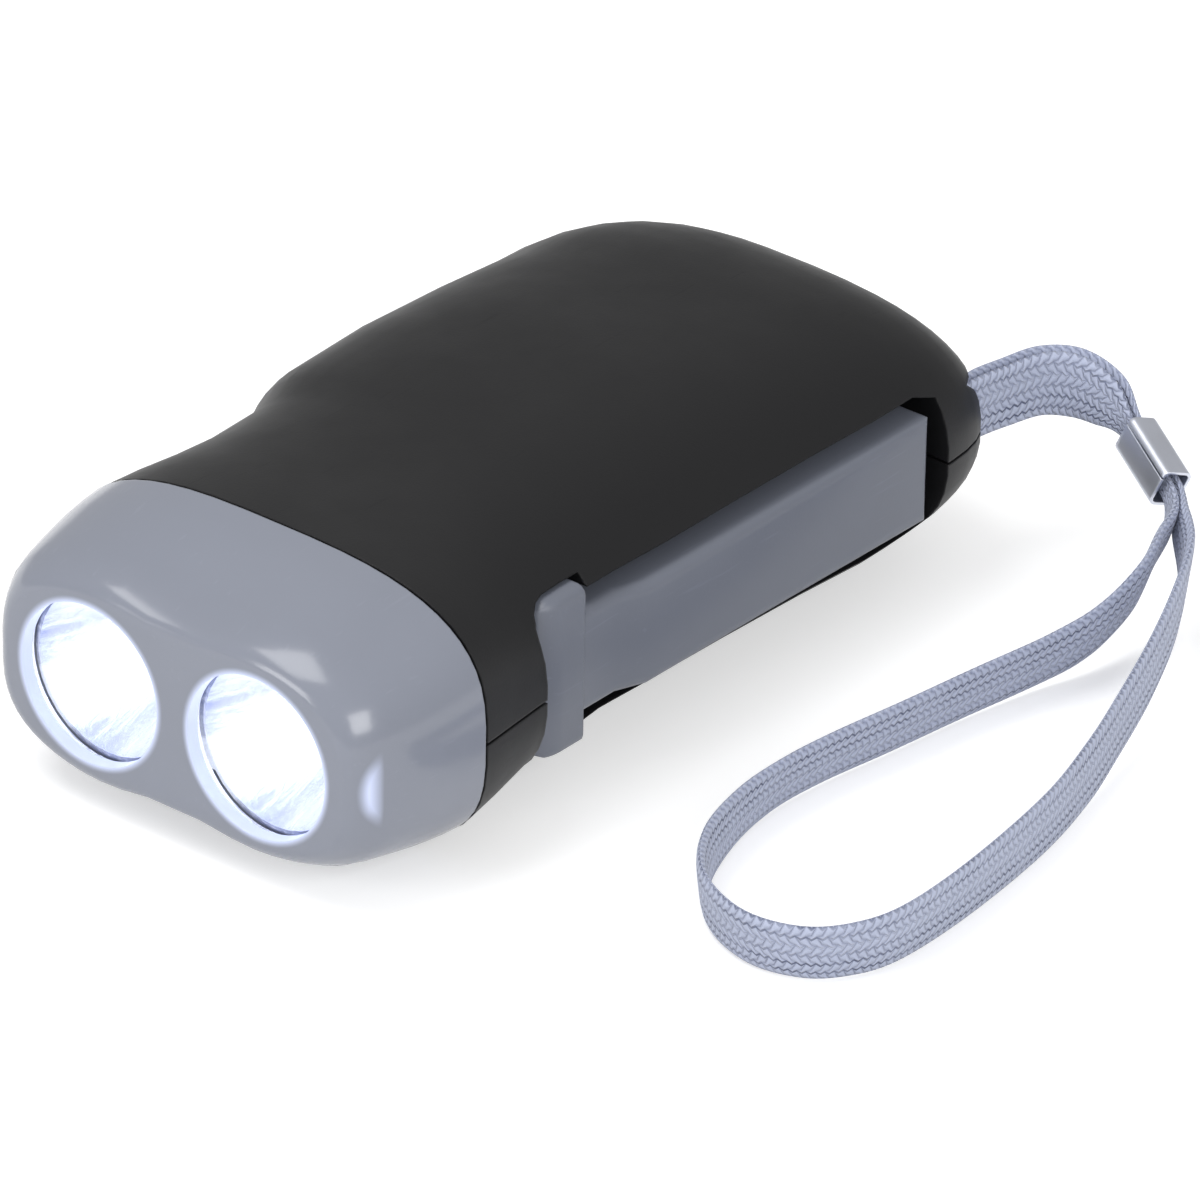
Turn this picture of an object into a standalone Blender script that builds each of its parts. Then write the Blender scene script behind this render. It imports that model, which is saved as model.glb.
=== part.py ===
"""Hand-squeeze dynamo torch, built from the pieces that it is assembled from.

Design frame: x runs from the palm side to the lever side, y from the lens face to the tail and
z up from the parting line of the two shells. Every piece is drawn in that frame and then moved
by SHIFT, which puts the origin under the middle of the torch, on the surface it rests on.
"""
import math

import bmesh
import bpy
from mathutils import Matrix, Vector

# Overall body, from the lens face to the tail
HEAD_LENGTH = 0.0158
BODY_LENGTH = 0.0835
HALF_WIDTH = 0.0258
HALF_HEIGHT = 0.0145
REST_CUT = 0.0003
JOINT_OFFSET = 0.0005
PALM_SWELL = 0.0023
TAIL_ROUND = 0.0213
TAIL_OFFSET = 0.0015
WALL = 0.0018
GAP = 0.0003
OVERRUN = 0.004

# Lamp: two windows, lenses, reflector cups and bulbs
LENS_SPACING_SHARE = 0.8062
WINDOW_SHARE = 0.43946
FRONT_WALL = 0.0015
SPIGOT_DEPTH = 0.0032
SPIGOT_WALL = 0.0014
SPIGOT_EASE = 0.0008
LENS_THICKNESS = 0.0012
LENS_LAP = 0.0006
CUP_DEPTH = 0.0098
CUP_THROAT = 0.0030
CUP_WALL = 0.0005
LED_RADIUS = 0.0025
LED_HEIGHT = 0.0086
LED_FLANGE = 0.0004
BOARD_THICKNESS = 0.0012
LED_BOARD_MARGIN = 0.0066
LED_BOARD_HEIGHT_SHARE = 0.8276

# Opening in the side of the shells, seen from the side
HUB_OPENING_LENGTH = 0.0087
HUB_OPENING_HEIGHT_SHARE = 0.6207
GRIP_OPENING_HEIGHT_SHARE = 0.5379
OPENING_END = 0.0874
OPENING_CORNER = 0.0030
OPENING_DEPTH = 0.0115
POCKET_WALL = 0.0014

# Squeeze lever and its hinge
PIVOT_SETBACK = 0.0075
PIVOT_Y = 0.0306
HUB_RADIUS = 0.0043
HUB_LENGTH = 0.0030
HUB_HALF_HEIGHT_SHARE = 0.5931
HUB_ROUND = 0.0010
GRIP_SETBACK = 0.0021
GRIP_THICKNESS = 0.0060
GRIP_HALF_HEIGHT_SHARE = 0.3931
GRIP_ROUND = 0.0013
GRIP_START = 0.0387
GRIP_RAMP = 0.0033
GRIP_END = 0.0853
GRIP_WALL = 0.0016
LEVER_TRAVEL = math.radians(18)
PIN_RADIUS = 0.0010
PIN_CLEARANCE = 0.0001
PIN_REACH_SHARE = 0.6483
LEVER_TAPER = 0.0010
POST_WALL = 0.0012

# Gear train: toothed sector, drive pinion, two step-up gears and the rotor pinion
SECTOR_TEETH = 72
PINION_TEETH = 10
WHEEL_TEETH = 36
DRIVE_MODULE = 0.0010
STEP_MODULE = 0.0006
BACKLASH_SHARE = 0.16
PRESSURE_ANGLE = math.radians(25)
ADDENDUM_SHARE = 0.7
DEDENDUM_SHARE = 1.0
FLANK_SHARES = (0.0, 0.5, 1.0)
CENTRE_EASE = 0.00012
SECTOR_WIDTH = 0.0050
SECTOR_START = math.radians(12.5)
SECTOR_END = math.radians(47.5)
SECTOR_TAIL = math.radians(7.5)
DRIVE_ANGLE = math.radians(20)
SECOND_ANGLE = math.radians(150)
ROTOR_ANGLE = math.radians(250)
SECTOR_FLOOR_SHARE = -0.2207
SECTOR_THICKNESS_SHARE = 0.2069
WHEEL_THICKNESS_SHARE = 0.1103
RATCHET_HEIGHT_SHARE = 0.0966
LAYER_GAP_SHARE = 0.0552
AXLE_SEAT_SHARE = 0.1793
AXLE_RADIUS = 0.0008
RATCHET_RADIUS = 0.0050
RATCHET_DEPTH = 0.0008
RATCHET_TEETH = 12
RATCHET_PAWL = 0.0009
PAWL_EASE = 0.0002

# Dynamo: ring magnet on the rotor, laminated core, bobbin and coil
MAGNET_RADIUS = 0.0070
MAGNET_HEIGHT_SHARE = 0.2897
MAGNET_FLOOR_SHARE = -0.531
FLYWHEEL_RADIUS = 0.0074
FLYWHEEL_THICKNESS_SHARE = 0.2483
ROTOR_HUB_RADIUS = 0.0020
AIR_GAP = 0.0006
CORE_THICKNESS_SHARE = 0.2345
CORE_LEG = 0.0018
POLE_LENGTH = 0.0035
COIL_SETBACK = 0.0170
BOBBIN_LENGTH = 0.0120
BOBBIN_RADIUS_SHARE = 0.3034
BOBBIN_WALL = 0.0006
COIL_RADIUS_SHARE = 0.2828

# Electronics
BOARD_X = -0.0045
BOARD_Y = 0.0300
BOARD_WIDTH = 0.0200
BOARD_LENGTH = 0.0130
BOARD_FLOOR_SHARE = -0.5172
CAPACITOR_RADIUS_SHARE = 0.2759
CAPACITOR_LENGTH = 0.0120
DIODE_RADIUS = 0.0009
DIODE_LENGTH = 0.0038
WIRE_RADIUS = 0.0005

# Return spring
SPRING_WIRE = 0.0004
SPRING_COILS = 4
SPRING_PITCH = 0.0010
SPRING_LEG = 0.0066
SPRING_ROOM = 0.0008
SPRING_STEPS = 8
SPRING_LEVEL_SHARE = 0.42

# Screws and strap
SCREW_HEAD_RADIUS = 0.0022
SCREW_HEAD_HEIGHT = 0.0014
SCREW_RADIUS = 0.0010
SCREW_DEPTH = 0.0140
SCREW_RECESS = 0.0036
BOSS_RADIUS = 0.0034
STRAP_BAR_SETBACK = 0.0070
STRAP_BAR_Y = 0.0916
STRAP_BAR_RADIUS = 0.0010
STRAP_WIDTH = 0.0070
STRAP_THICKNESS = 0.0010
STRAP_HEIGHT_SHARE = 0.1034
STRAP_SPLIT = 0.0004
STRAP_STEPS = 2
BAR_SEAT = 0.0022
SLOT_WIDTH = 0.0039
SLOT_SHIFT = 0.0013
SLOT_CLEARANCE = 0.0006
FERRULE_LENGTH = 0.0082
FERRULE_WALL = 0.00035
FERRULE_ROOM = 0.0006

# Fineness of the lofted skins
SHELL_POINTS = 48
HOLLOW_POINTS = 24
HEAD_POINTS = 56
ROUND_STEPS = 14
LARGE_STEPS = 40
CUP_SHARES = (0.0, 0.2, 0.42, 0.64, 0.82, 0.94, 1.0)

# Sizes that follow the body
REST_DEPTH = HALF_HEIGHT - REST_CUT
GRIP_FACE = HALF_WIDTH - GRIP_SETBACK
PIVOT_X = HALF_WIDTH - PIVOT_SETBACK
STRAP_BAR_X = HALF_WIDTH - STRAP_BAR_SETBACK
LENS_SPACING = HALF_WIDTH * LENS_SPACING_SHARE
WINDOW_RADIUS = math.sqrt(HALF_WIDTH * HALF_HEIGHT) * WINDOW_SHARE
LED_BOARD_WIDTH = LENS_SPACING + 2 * LED_BOARD_MARGIN
HUB_OPENING_HEIGHT = HALF_HEIGHT * HUB_OPENING_HEIGHT_SHARE
GRIP_OPENING_HEIGHT = HALF_HEIGHT * GRIP_OPENING_HEIGHT_SHARE
HUB_HALF_HEIGHT = HALF_HEIGHT * HUB_HALF_HEIGHT_SHARE
GRIP_HALF_HEIGHT = HALF_HEIGHT * GRIP_HALF_HEIGHT_SHARE
PIN_REACH = HALF_HEIGHT * PIN_REACH_SHARE
SECTOR_FLOOR = HALF_HEIGHT * SECTOR_FLOOR_SHARE
SECTOR_THICKNESS = HALF_HEIGHT * SECTOR_THICKNESS_SHARE
WHEEL_THICKNESS = HALF_HEIGHT * WHEEL_THICKNESS_SHARE
RATCHET_HEIGHT = HALF_HEIGHT * RATCHET_HEIGHT_SHARE
LAYER_GAP = HALF_HEIGHT * LAYER_GAP_SHARE
AXLE_SEAT = HALF_HEIGHT * AXLE_SEAT_SHARE
MAGNET_HEIGHT = HALF_HEIGHT * MAGNET_HEIGHT_SHARE
MAGNET_FLOOR = HALF_HEIGHT * MAGNET_FLOOR_SHARE
FLYWHEEL_THICKNESS = HALF_HEIGHT * FLYWHEEL_THICKNESS_SHARE
CORE_THICKNESS = HALF_HEIGHT * CORE_THICKNESS_SHARE
BOBBIN_RADIUS = HALF_HEIGHT * BOBBIN_RADIUS_SHARE
COIL_RADIUS = HALF_HEIGHT * COIL_RADIUS_SHARE
BOARD_FLOOR = HALF_HEIGHT * BOARD_FLOOR_SHARE
CAPACITOR_RADIUS = HALF_HEIGHT * CAPACITOR_RADIUS_SHARE
STRAP_HEIGHT = HALF_HEIGHT * STRAP_HEIGHT_SHARE
LED_BOARD_HEIGHT = HALF_HEIGHT * LED_BOARD_HEIGHT_SHARE
JOINT_LEFT = HALF_WIDTH + JOINT_OFFSET
JOINT_RIGHT = HALF_WIDTH - JOINT_OFFSET
PALM_LEFT = JOINT_LEFT + PALM_SWELL
TORCH_LENGTH = HEAD_LENGTH + BODY_LENGTH
SHIFT = Vector(((PALM_LEFT - JOINT_RIGHT) / 2, -TORCH_LENGTH / 2, REST_DEPTH))

# Body stations: share of the length, then shares of the palm side, lever side and half height,
# then the roundness exponents of the palm side, of the lever side above and of the same below
BODY_SHARES = (
    (0.000, 0.920, 1.000, 1.000, 3.0, 3.0, 3.0),
    (0.050, 0.912, 0.985, 0.990, 3.0, 2.8, 2.8),
    (0.110, 0.905, 0.966, 0.968, 2.9, 2.6, 2.5),
    (0.190, 0.900, 0.957, 0.952, 2.8, 2.6, 2.3),
    (0.275, 0.912, 0.953, 0.955, 2.8, 2.6, 2.1),
    (0.300, 0.932, 0.953, 0.960, 2.8, 2.6, 2.1),
    (0.330, 0.972, 0.955, 0.966, 2.9, 2.6, 2.1),
    (0.362, 0.992, 0.956, 0.974, 3.0, 2.6, 2.1),
    (0.500, 1.008, 0.957, 0.996, 3.0, 2.5, 2.1),
    (0.640, 1.004, 0.963, 0.984, 2.9, 2.5, 2.2),
    (0.745, 1.000, 0.972, 0.950, 2.8, 2.6, 2.4),
)
TAIL_SHARES = (0.18, 0.34, 0.48, 0.60, 0.70, 0.78, 0.85, 0.905, 0.945, 0.972, 0.989, 0.998)
TAIL_LEFT_POWER = 2.5
TAIL_RIGHT_POWER = 5.0
TAIL_SIDE_POWER = 3.0

# Head stations: share of the length, then shares of the half width and half height, the depth
# of the dip between the two lobes as a share of the height, and the roundness exponent
HEAD_SHARES = (
    (0.000, 0.800, 0.690, 0.090, 3.1),
    (0.012, 0.826, 0.724, 0.105, 3.1),
    (0.045, 0.852, 0.762, 0.120, 3.1),
    (0.100, 0.876, 0.800, 0.128, 3.1),
    (0.190, 0.904, 0.842, 0.124, 3.2),
    (0.320, 0.932, 0.884, 0.105, 3.1),
    (0.500, 0.960, 0.928, 0.070, 3.0),
    (0.700, 0.982, 0.966, 0.030, 3.0),
    (0.860, 0.994, 0.988, 0.008, 3.0),
    (1.000, 1.000, 1.000, 0.000, 3.0),
)
DIP_WIDTH_SHARE = 0.26

parts = bpy.data.collections.new("squeeze_torch")
cutters = bpy.data.collections.new("cutters")


def clear_scene():
    for old in list(bpy.data.objects):
        bpy.data.objects.remove(old, do_unlink=True)
    for collection in (parts, cutters):
        bpy.context.scene.collection.children.link(collection)


def material(name, colour, roughness, metallic=0.0):
    finish = bpy.data.materials.new(name)
    finish.use_nodes = True
    shader = finish.node_tree.nodes["Principled BSDF"]
    shader.inputs["Base Color"].default_value = (*colour, 1.0)
    shader.inputs["Roughness"].default_value = roughness
    shader.inputs["Metallic"].default_value = metallic
    finish.diffuse_color = (*colour, 1.0)
    return finish


def place(name, mesh, at, finish, turn=None):
    """Link a finished piece, with its origin at a point of the design frame."""
    piece = bpy.data.objects.new(name, mesh)
    piece.location = Vector(at) + SHIFT
    if turn:
        piece.rotation_euler = turn
    if finish:
        mesh.materials.append(finish)
    parts.objects.link(piece)
    return piece


def hide_cutter(piece):
    for collection in list(piece.users_collection):
        collection.objects.unlink(piece)
    cutters.objects.link(piece)
    piece.hide_render = True
    piece.display_type = "WIRE"
    return piece


def close_mesh(name, bm, at, smooth=True):
    """Turn a bmesh drawn in the design frame into a mesh whose origin is at a point."""
    bmesh.ops.translate(bm, verts=bm.verts, vec=-Vector(at))
    bmesh.ops.recalc_face_normals(bm, faces=bm.faces)
    mesh = bpy.data.meshes.new(name)
    bm.to_mesh(mesh)
    bm.free()
    if smooth:
        mesh.shade_smooth()
        mesh.set_sharp_from_angle(angle=math.radians(35))
    return mesh


def solid(name, bm, finish, at=(0, 0, 0)):
    return place(name, close_mesh(name, bm, at), at, finish)


def cutter(name, bm):
    return hide_cutter(solid(name, bm, None))


def add_box(bm, low, high):
    low, high = Vector(low), Vector(high)
    made = bmesh.ops.create_cube(bm, size=1.0)["verts"]
    bmesh.ops.scale(bm, verts=made, vec=high - low)
    bmesh.ops.translate(bm, verts=made, vec=(low + high) / 2)
    return made


def add_post(bm, x, y, low, high, radius, sides=32):
    made = bmesh.ops.create_cone(
        bm, cap_ends=True, segments=sides, radius1=radius, radius2=radius, depth=high - low,
    )["verts"]
    bmesh.ops.translate(bm, verts=made, vec=(x, y, (low + high) / 2))
    return made


def add_prism(bm, outline, low, high):
    """A flat outline in x and y, raised from one height to another."""
    base = bm.faces.new([bm.verts.new((x, y, low)) for x, y in outline])
    raised = bmesh.ops.extrude_face_region(bm, geom=[base])["geom"]
    top = [item for item in raised if isinstance(item, bmesh.types.BMVert)]
    bmesh.ops.translate(bm, verts=top, vec=(0, 0, high - low))
    return top


def box(name, low, high):
    bm = bmesh.new()
    add_box(bm, low, high)
    return cutter(name, bm)


def post(name, x, y, low, high, radius, sides=32):
    bm = bmesh.new()
    add_post(bm, x, y, low, high, radius, sides)
    return cutter(name, bm)


def change(piece, tool, operation):
    step = piece.modifiers.new(f"{operation.lower()}_{tool.name}", "BOOLEAN")
    step.operation = operation
    step.object = tool
    step.solver = "EXACT"
    return piece


def cut(piece, *tools):
    for tool in tools:
        change(piece, tool, "DIFFERENCE")
    return piece


def join(piece, *tools):
    for tool in tools:
        change(piece, tool, "UNION")
    return piece


def turned(name, profile, at, finish, turn=None, steps=40):
    """A turned piece: a closed half profile of radius and height, screwed round its axis."""
    mesh = bpy.data.meshes.new(name)
    points = [(radius, 0.0, height) for radius, height in profile]
    mesh.from_pydata(points, [(i, i + 1) for i in range(len(points) - 1)], [])
    piece = place(name, mesh, at, finish, turn)
    spin = piece.modifiers.new("turn", "SCREW")
    spin.steps = steps
    spin.render_steps = steps
    spin.use_merge_vertices = True
    spin.merge_threshold = GAP / 30
    spin.use_smooth_shade = True
    return piece


def oval(y, left, right, half_height, powers, count, dip=0.0, offset=0.0):
    """One cross-section at y: an oval whose sides may differ in reach and in roundness."""
    ring = []
    for step in range(count):
        angle = math.tau * (step + 0.5) / count
        across, rise = math.cos(angle), math.sin(angle)
        power = powers[0] if across < 0 else powers[1 if rise > 0 else 2]
        reach = right if across > 0 else left
        x = math.copysign(reach * abs(across) ** (2 / power), across)
        z = math.copysign(half_height * abs(rise) ** (2 / power), rise)
        z *= 1 - dip * math.exp(-((x / (DIP_WIDTH_SHARE * HALF_WIDTH)) ** 2))
        ring.append(Vector((x + offset, y, z)))
    return ring


def loft(rings):
    """A closed skin over cross-sections of equal count, capped at both ends."""
    bm = bmesh.new()
    rows = [[bm.verts.new(point) for point in ring] for ring in rings]
    for row, following in zip(rows, rows[1:]):
        for index in range(len(row)):
            ahead = (index + 1) % len(row)
            bm.faces.new((row[index], row[ahead], following[ahead], following[index]))
    bm.faces.new(rows[0])
    bm.faces.new(rows[-1])
    bmesh.ops.recalc_face_normals(bm, faces=bm.faces)
    return bm


def keep_side(bm, point, normal):
    """Trim a closed solid by a plane and close the cut."""
    sliced = bmesh.ops.bisect_plane(
        bm, geom=list(bm.verts) + list(bm.edges) + list(bm.faces),
        plane_co=point, plane_no=normal, clear_inner=True,
    )
    rim = [item for item in sliced["geom_cut"] if isinstance(item, bmesh.types.BMEdge)]
    bmesh.ops.edgeloop_fill(bm, edges=rim)
    return bm


def tail_fade(share, power):
    return max(1 - share**power, 0.0) ** (1 / power)


def body_rings(inset, count, start, skip=1):
    """Cross-sections of the body, drawn in by a wall, from a start near the joint to the tail."""
    rings = []
    for row in BODY_SHARES[::skip]:
        left, right, high = row[1:4]
        y = HEAD_LENGTH + row[0] * BODY_LENGTH
        if row is BODY_SHARES[0]:
            y = start
        rings.append(oval(y, left * PALM_LEFT - inset, right * JOINT_RIGHT - inset,
                          high * HALF_HEIGHT - inset, row[4:], count))
    left, right, high = BODY_SHARES[-1][1:4]
    for share in TAIL_SHARES[::skip]:
        y = TORCH_LENGTH - TAIL_ROUND + share * (TAIL_ROUND - inset)
        drift = TAIL_OFFSET * min(share / TAIL_SHARES[3], 1.0)
        reach_left = (left * PALM_LEFT - drift - inset) * tail_fade(share, TAIL_LEFT_POWER)
        reach_right = (right * JOINT_RIGHT + drift - inset) * tail_fade(share, TAIL_RIGHT_POWER)
        rise = (high * HALF_HEIGHT - inset) * tail_fade(share, TAIL_SIDE_POWER)
        rings.append(oval(y, reach_left, reach_right, rise, BODY_SHARES[-1][4:], count,
                          offset=-drift))
    return rings


def head_rings(inset, count, from_share=0.0):
    """Cross-sections of the head, from its face to the joint, drawn in by a wall."""
    rings = []
    for row in HEAD_SHARES:
        if row[0] < from_share:
            continue
        wide, high, dip, power = row[1:]
        rings.append(oval(row[0] * HEAD_LENGTH, wide * HALF_WIDTH - inset, wide * HALF_WIDTH - inset,
                          high * HALF_HEIGHT - inset, [power] * 3, count,
                          dip=dip, offset=-JOINT_OFFSET * row[0]))
    return rings


def joint_ring(y, inset, count):
    return oval(y, HALF_WIDTH - inset, HALF_WIDTH - inset, HALF_HEIGHT - inset, BODY_SHARES[0][4:],
                count, offset=-JOINT_OFFSET)


def side_prism(name, outline, low, high, swing=0.0):
    """A cutter with an outline in y and z, carried along x and then swung about the pivot."""
    bm = bmesh.new()
    add_prism(bm, outline, low, high)
    bmesh.ops.rotate(bm, verts=bm.verts, matrix=Matrix(((0, 0, 1), (1, 0, 0), (0, 1, 0))))
    bmesh.ops.rotate(bm, verts=bm.verts, cent=(*PIVOT, 0), matrix=Matrix.Rotation(swing, 3, "Z"))
    return cutter(name, bm)


def hub_outline(inset):
    """The front of the lever's opening seen from the side, with its two rounded corners."""
    start, corner = OPENING_START + inset, OPENING_CORNER - inset
    top = HUB_OPENING_HEIGHT - inset
    outline = []
    for turn in range(5):
        angle = math.radians(180 - 22.5 * turn)
        outline.append((start + corner * (1 + math.cos(angle)), top - corner * (1 - math.sin(angle))))
    outline.append((OPENING_START + HUB_OPENING_LENGTH, top))
    return outline + [(y, -z) for y, z in reversed(outline)]


def opening_cutters():
    """The stepped opening in the side: a tall part for the hinge block and a lower one."""
    step = OPENING_START + HUB_OPENING_LENGTH - GAP
    outline = [(step, GRIP_OPENING_HEIGHT), (OPENING_END - OPENING_CORNER, GRIP_OPENING_HEIGHT),
               (OPENING_END, GRIP_OPENING_HEIGHT - OPENING_CORNER / 3)]
    outline += [(y, -z) for y, z in reversed(outline)]
    outside = HALF_WIDTH + OVERRUN
    return (side_prism("hub_opening", hub_outline(0.0), PIVOT_X - HUB_RADIUS - GAP, outside),
            side_prism("grip_opening", outline, GRIP_FACE - OPENING_DEPTH + OVERRUN / 2, outside))


def gear_points(teeth, module, phase, first=0, count=None):
    """Outline of spur teeth with involute flanks, counter-clockwise, as radius and angle."""
    pitch_radius = teeth * module / 2
    base_radius = pitch_radius * math.cos(PRESSURE_ANGLE)
    tip_radius = pitch_radius + ADDENDUM_SHARE * module
    root_radius = pitch_radius - DEDENDUM_SHARE * module
    half_tooth = math.pi / (2 * teeth) - BACKLASH_SHARE / teeth

    def roll(radius):
        tangent = math.sqrt(max((radius / base_radius) ** 2 - 1, 0.0))
        return tangent - math.atan(tangent)

    flank = [max(base_radius, root_radius) * (1 - s) + tip_radius * s for s in FLANK_SHARES]
    outline = []
    for tooth in range(first, first + (count or teeth)):
        middle = phase + math.tau * tooth / teeth
        spread = [half_tooth + roll(pitch_radius) - roll(radius) for radius in flank]
        outline.append((root_radius, middle - spread[0]))
        outline += [(radius, middle - angle) for radius, angle in zip(flank, spread)]
        outline += [(radius, middle + angle) for radius, angle in zip(flank[::-1], spread[::-1])]
        outline.append((root_radius, middle + spread[0]))
    return outline


def around(centre, polar):
    return [(centre[0] + r * math.cos(a), centre[1] + r * math.sin(a)) for r, a in polar]


def beside(centre, distance, angle):
    return (centre[0] + distance * math.cos(angle), centre[1] + distance * math.sin(angle))


def meshed_phase(phase, teeth, other_teeth, angle):
    """Where the second gear of a pair carries a tooth, so that it sits in a gap of the first."""
    pitch = math.tau / teeth
    offset = ((phase - angle) / pitch) % 1.0
    return angle + math.pi - (offset + 0.5) * math.tau / other_teeth


# Places of the gear train, worked out from the pivot outwards
PIVOT = (PIVOT_X, PIVOT_Y)
OPENING_START = PIVOT_Y - HUB_RADIUS - GAP
SECTOR_RADIUS = SECTOR_TEETH * DRIVE_MODULE / 2
DRIVE_DIRECTION = math.pi / 2 + DRIVE_ANGLE
DRIVE_SPACING = (SECTOR_TEETH + PINION_TEETH) * DRIVE_MODULE / 2 + CENTRE_EASE
STEP_SPACING = (WHEEL_TEETH + PINION_TEETH) * STEP_MODULE / 2 + CENTRE_EASE
DRIVE_AXLE = beside(PIVOT, DRIVE_SPACING, DRIVE_DIRECTION)
SECOND_AXLE = beside(DRIVE_AXLE, STEP_SPACING, SECOND_ANGLE)
ROTOR_AXLE = beside(SECOND_AXLE, STEP_SPACING, ROTOR_ANGLE)
SECTOR_PHASE = math.pi / 2 + SECTOR_START
DRIVE_PHASE = meshed_phase(SECTOR_PHASE, SECTOR_TEETH, PINION_TEETH, DRIVE_DIRECTION)
SECOND_PHASE = meshed_phase(0.0, WHEEL_TEETH, PINION_TEETH, SECOND_ANGLE)
ROTOR_PHASE = meshed_phase(0.0, WHEEL_TEETH, PINION_TEETH, ROTOR_ANGLE)

# Heights of the gear train, from the sector's layer upwards
SECTOR_TOP = SECTOR_FLOOR + SECTOR_THICKNESS
RATCHET_FLOOR = SECTOR_TOP + LAYER_GAP
FIRST_FLOOR = RATCHET_FLOOR + RATCHET_HEIGHT
FIRST_TOP = FIRST_FLOOR + WHEEL_THICKNESS
SECOND_FLOOR = FIRST_TOP + LAYER_GAP
SECOND_TOP = SECOND_FLOOR + WHEEL_THICKNESS
MAGNET_TOP = MAGNET_FLOOR + MAGNET_HEIGHT
FLYWHEEL_FLOOR = MAGNET_TOP + GAP
FLYWHEEL_TOP = FLYWHEEL_FLOOR + FLYWHEEL_THICKNESS
CORE_MIDDLE = MAGNET_FLOOR + MAGNET_HEIGHT / 2
POLE_RADIUS = MAGNET_RADIUS + AIR_GAP
CORE_OUTSIDE = POLE_RADIUS + CORE_LEG
COIL_Y = ROTOR_AXLE[1] - COIL_SETBACK
SCREW_SEAT = -REST_DEPTH + SCREW_RECESS + SCREW_HEAD_HEIGHT
BOARD_TOP = BOARD_FLOOR + BOARD_THICKNESS
BOARD_LOW = Vector((BOARD_X - BOARD_WIDTH / 2, BOARD_Y - BOARD_LENGTH / 2, BOARD_FLOOR))
BOARD_HIGH = Vector((BOARD_X + BOARD_WIDTH / 2, BOARD_Y + BOARD_LENGTH / 2, BOARD_TOP))
SPRING_RADIUS = PIN_RADIUS + SPRING_ROOM + SPRING_WIRE
SPRING_REST = (PIVOT_X - SPRING_LEG + POST_WALL,
               PIVOT_Y - SPRING_RADIUS - SPRING_WIRE - GAP - POST_WALL)

# Lamp, from the window backwards
LENS_FRONT = FRONT_WALL + GAP
CUP_FRONT = LENS_FRONT + LENS_THICKNESS + GAP
CUP_BACK = CUP_FRONT + CUP_DEPTH
LED_BASE = CUP_BACK + 2 * GAP
LED_BOARD_FRONT = LED_BASE + GAP
CUP_MOUTH = WINDOW_RADIUS + GAP / 3

# Screw places seen from above
SCREWS = (
    (-PALM_LEFT * 0.66, HEAD_LENGTH + BOSS_RADIUS * 2.3),
    (JOINT_RIGHT * 0.38, HEAD_LENGTH + BOSS_RADIUS * 2.0),
    (-PALM_LEFT * 0.62, TORCH_LENGTH - BOSS_RADIUS * 3.4),
    (JOINT_RIGHT * 0.36, TORCH_LENGTH - BOSS_RADIUS * 3.2),
)


def seats(side):
    """Posts that one shell's hollow leaves standing; side is 1 above and -1 below."""
    reach = side * HALF_HEIGHT
    hub = side * (HUB_HALF_HEIGHT + GAP)
    if side > 0:
        faces = (FIRST_TOP, SECOND_TOP, SECOND_TOP + GAP)
    else:
        faces = (SECTOR_FLOOR - GAP, FIRST_FLOOR - GAP, MAGNET_FLOOR)
    axles = (DRIVE_AXLE, SECOND_AXLE, ROTOR_AXLE)
    bar = STRAP_HEIGHT + side * (STRAP_WIDTH / 2 + GAP)
    standing = [(PIVOT, hub, PIN_RADIUS + POST_WALL * 2)]
    standing += [(axle, face + side * GAP, AXLE_RADIUS + POST_WALL)
                 for axle, face in zip(axles, faces)]
    standing += [(screw, side * GAP / 2, BOSS_RADIUS) for screw in SCREWS]
    standing.append(((STRAP_BAR_X, STRAP_BAR_Y), bar, STRAP_BAR_RADIUS + POST_WALL))
    if side < 0:
        standing.append((SPRING_REST, spring_span()[0] + SPRING_PITCH, POST_WALL))
        standing += [((x, y), BOARD_FLOOR - GAP, POST_WALL)
                     for x in (BOARD_LOW.x + POST_WALL, BOARD_HIGH.x - POST_WALL)
                     for y in (BOARD_LOW.y + POST_WALL, BOARD_HIGH.y - POST_WALL)]
    return [post(f"seat_{side}_{index}", *spot, min(face, reach), max(face, reach), radius, ROUND_STEPS)
            for index, (spot, face, radius) in enumerate(standing)]


def pocket_wall():
    bm = bmesh.new()
    add_box(bm, (GRIP_FACE - OPENING_DEPTH + POCKET_WALL, OPENING_END, -HALF_HEIGHT),
            (HALF_WIDTH, OPENING_END + POCKET_WALL, HALF_HEIGHT))
    return cutter("pocket_wall", bm)


def bores():
    """Blind holes in the posts for the hinge pin, the axles and the strap bar."""
    bm = bmesh.new()
    add_post(bm, *PIVOT, -PIN_REACH - GAP, PIN_REACH + GAP, PIN_RADIUS + PIN_CLEARANCE, ROUND_STEPS)
    for axle, low, high in axle_spans():
        add_post(bm, *axle, low - GAP, high + GAP, AXLE_RADIUS + PIN_CLEARANCE, ROUND_STEPS)
    low, high = bar_span()
    add_post(bm, STRAP_BAR_X, STRAP_BAR_Y, low - GAP, high + GAP,
             STRAP_BAR_RADIUS + PIN_CLEARANCE, ROUND_STEPS)
    return cutter("bores", bm)


def axle_spans():
    below = (SECTOR_FLOOR, FIRST_FLOOR, MAGNET_FLOOR)
    above = (FIRST_TOP, SECOND_TOP, SECOND_TOP + GAP)
    return [(axle, low - AXLE_SEAT, high + AXLE_SEAT)
            for axle, low, high in zip((DRIVE_AXLE, SECOND_AXLE, ROTOR_AXLE), below, above)]


def bar_span():
    return (STRAP_HEIGHT - STRAP_WIDTH / 2 - BAR_SEAT, STRAP_HEIGHT + STRAP_WIDTH / 2 + BAR_SEAT)


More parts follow.
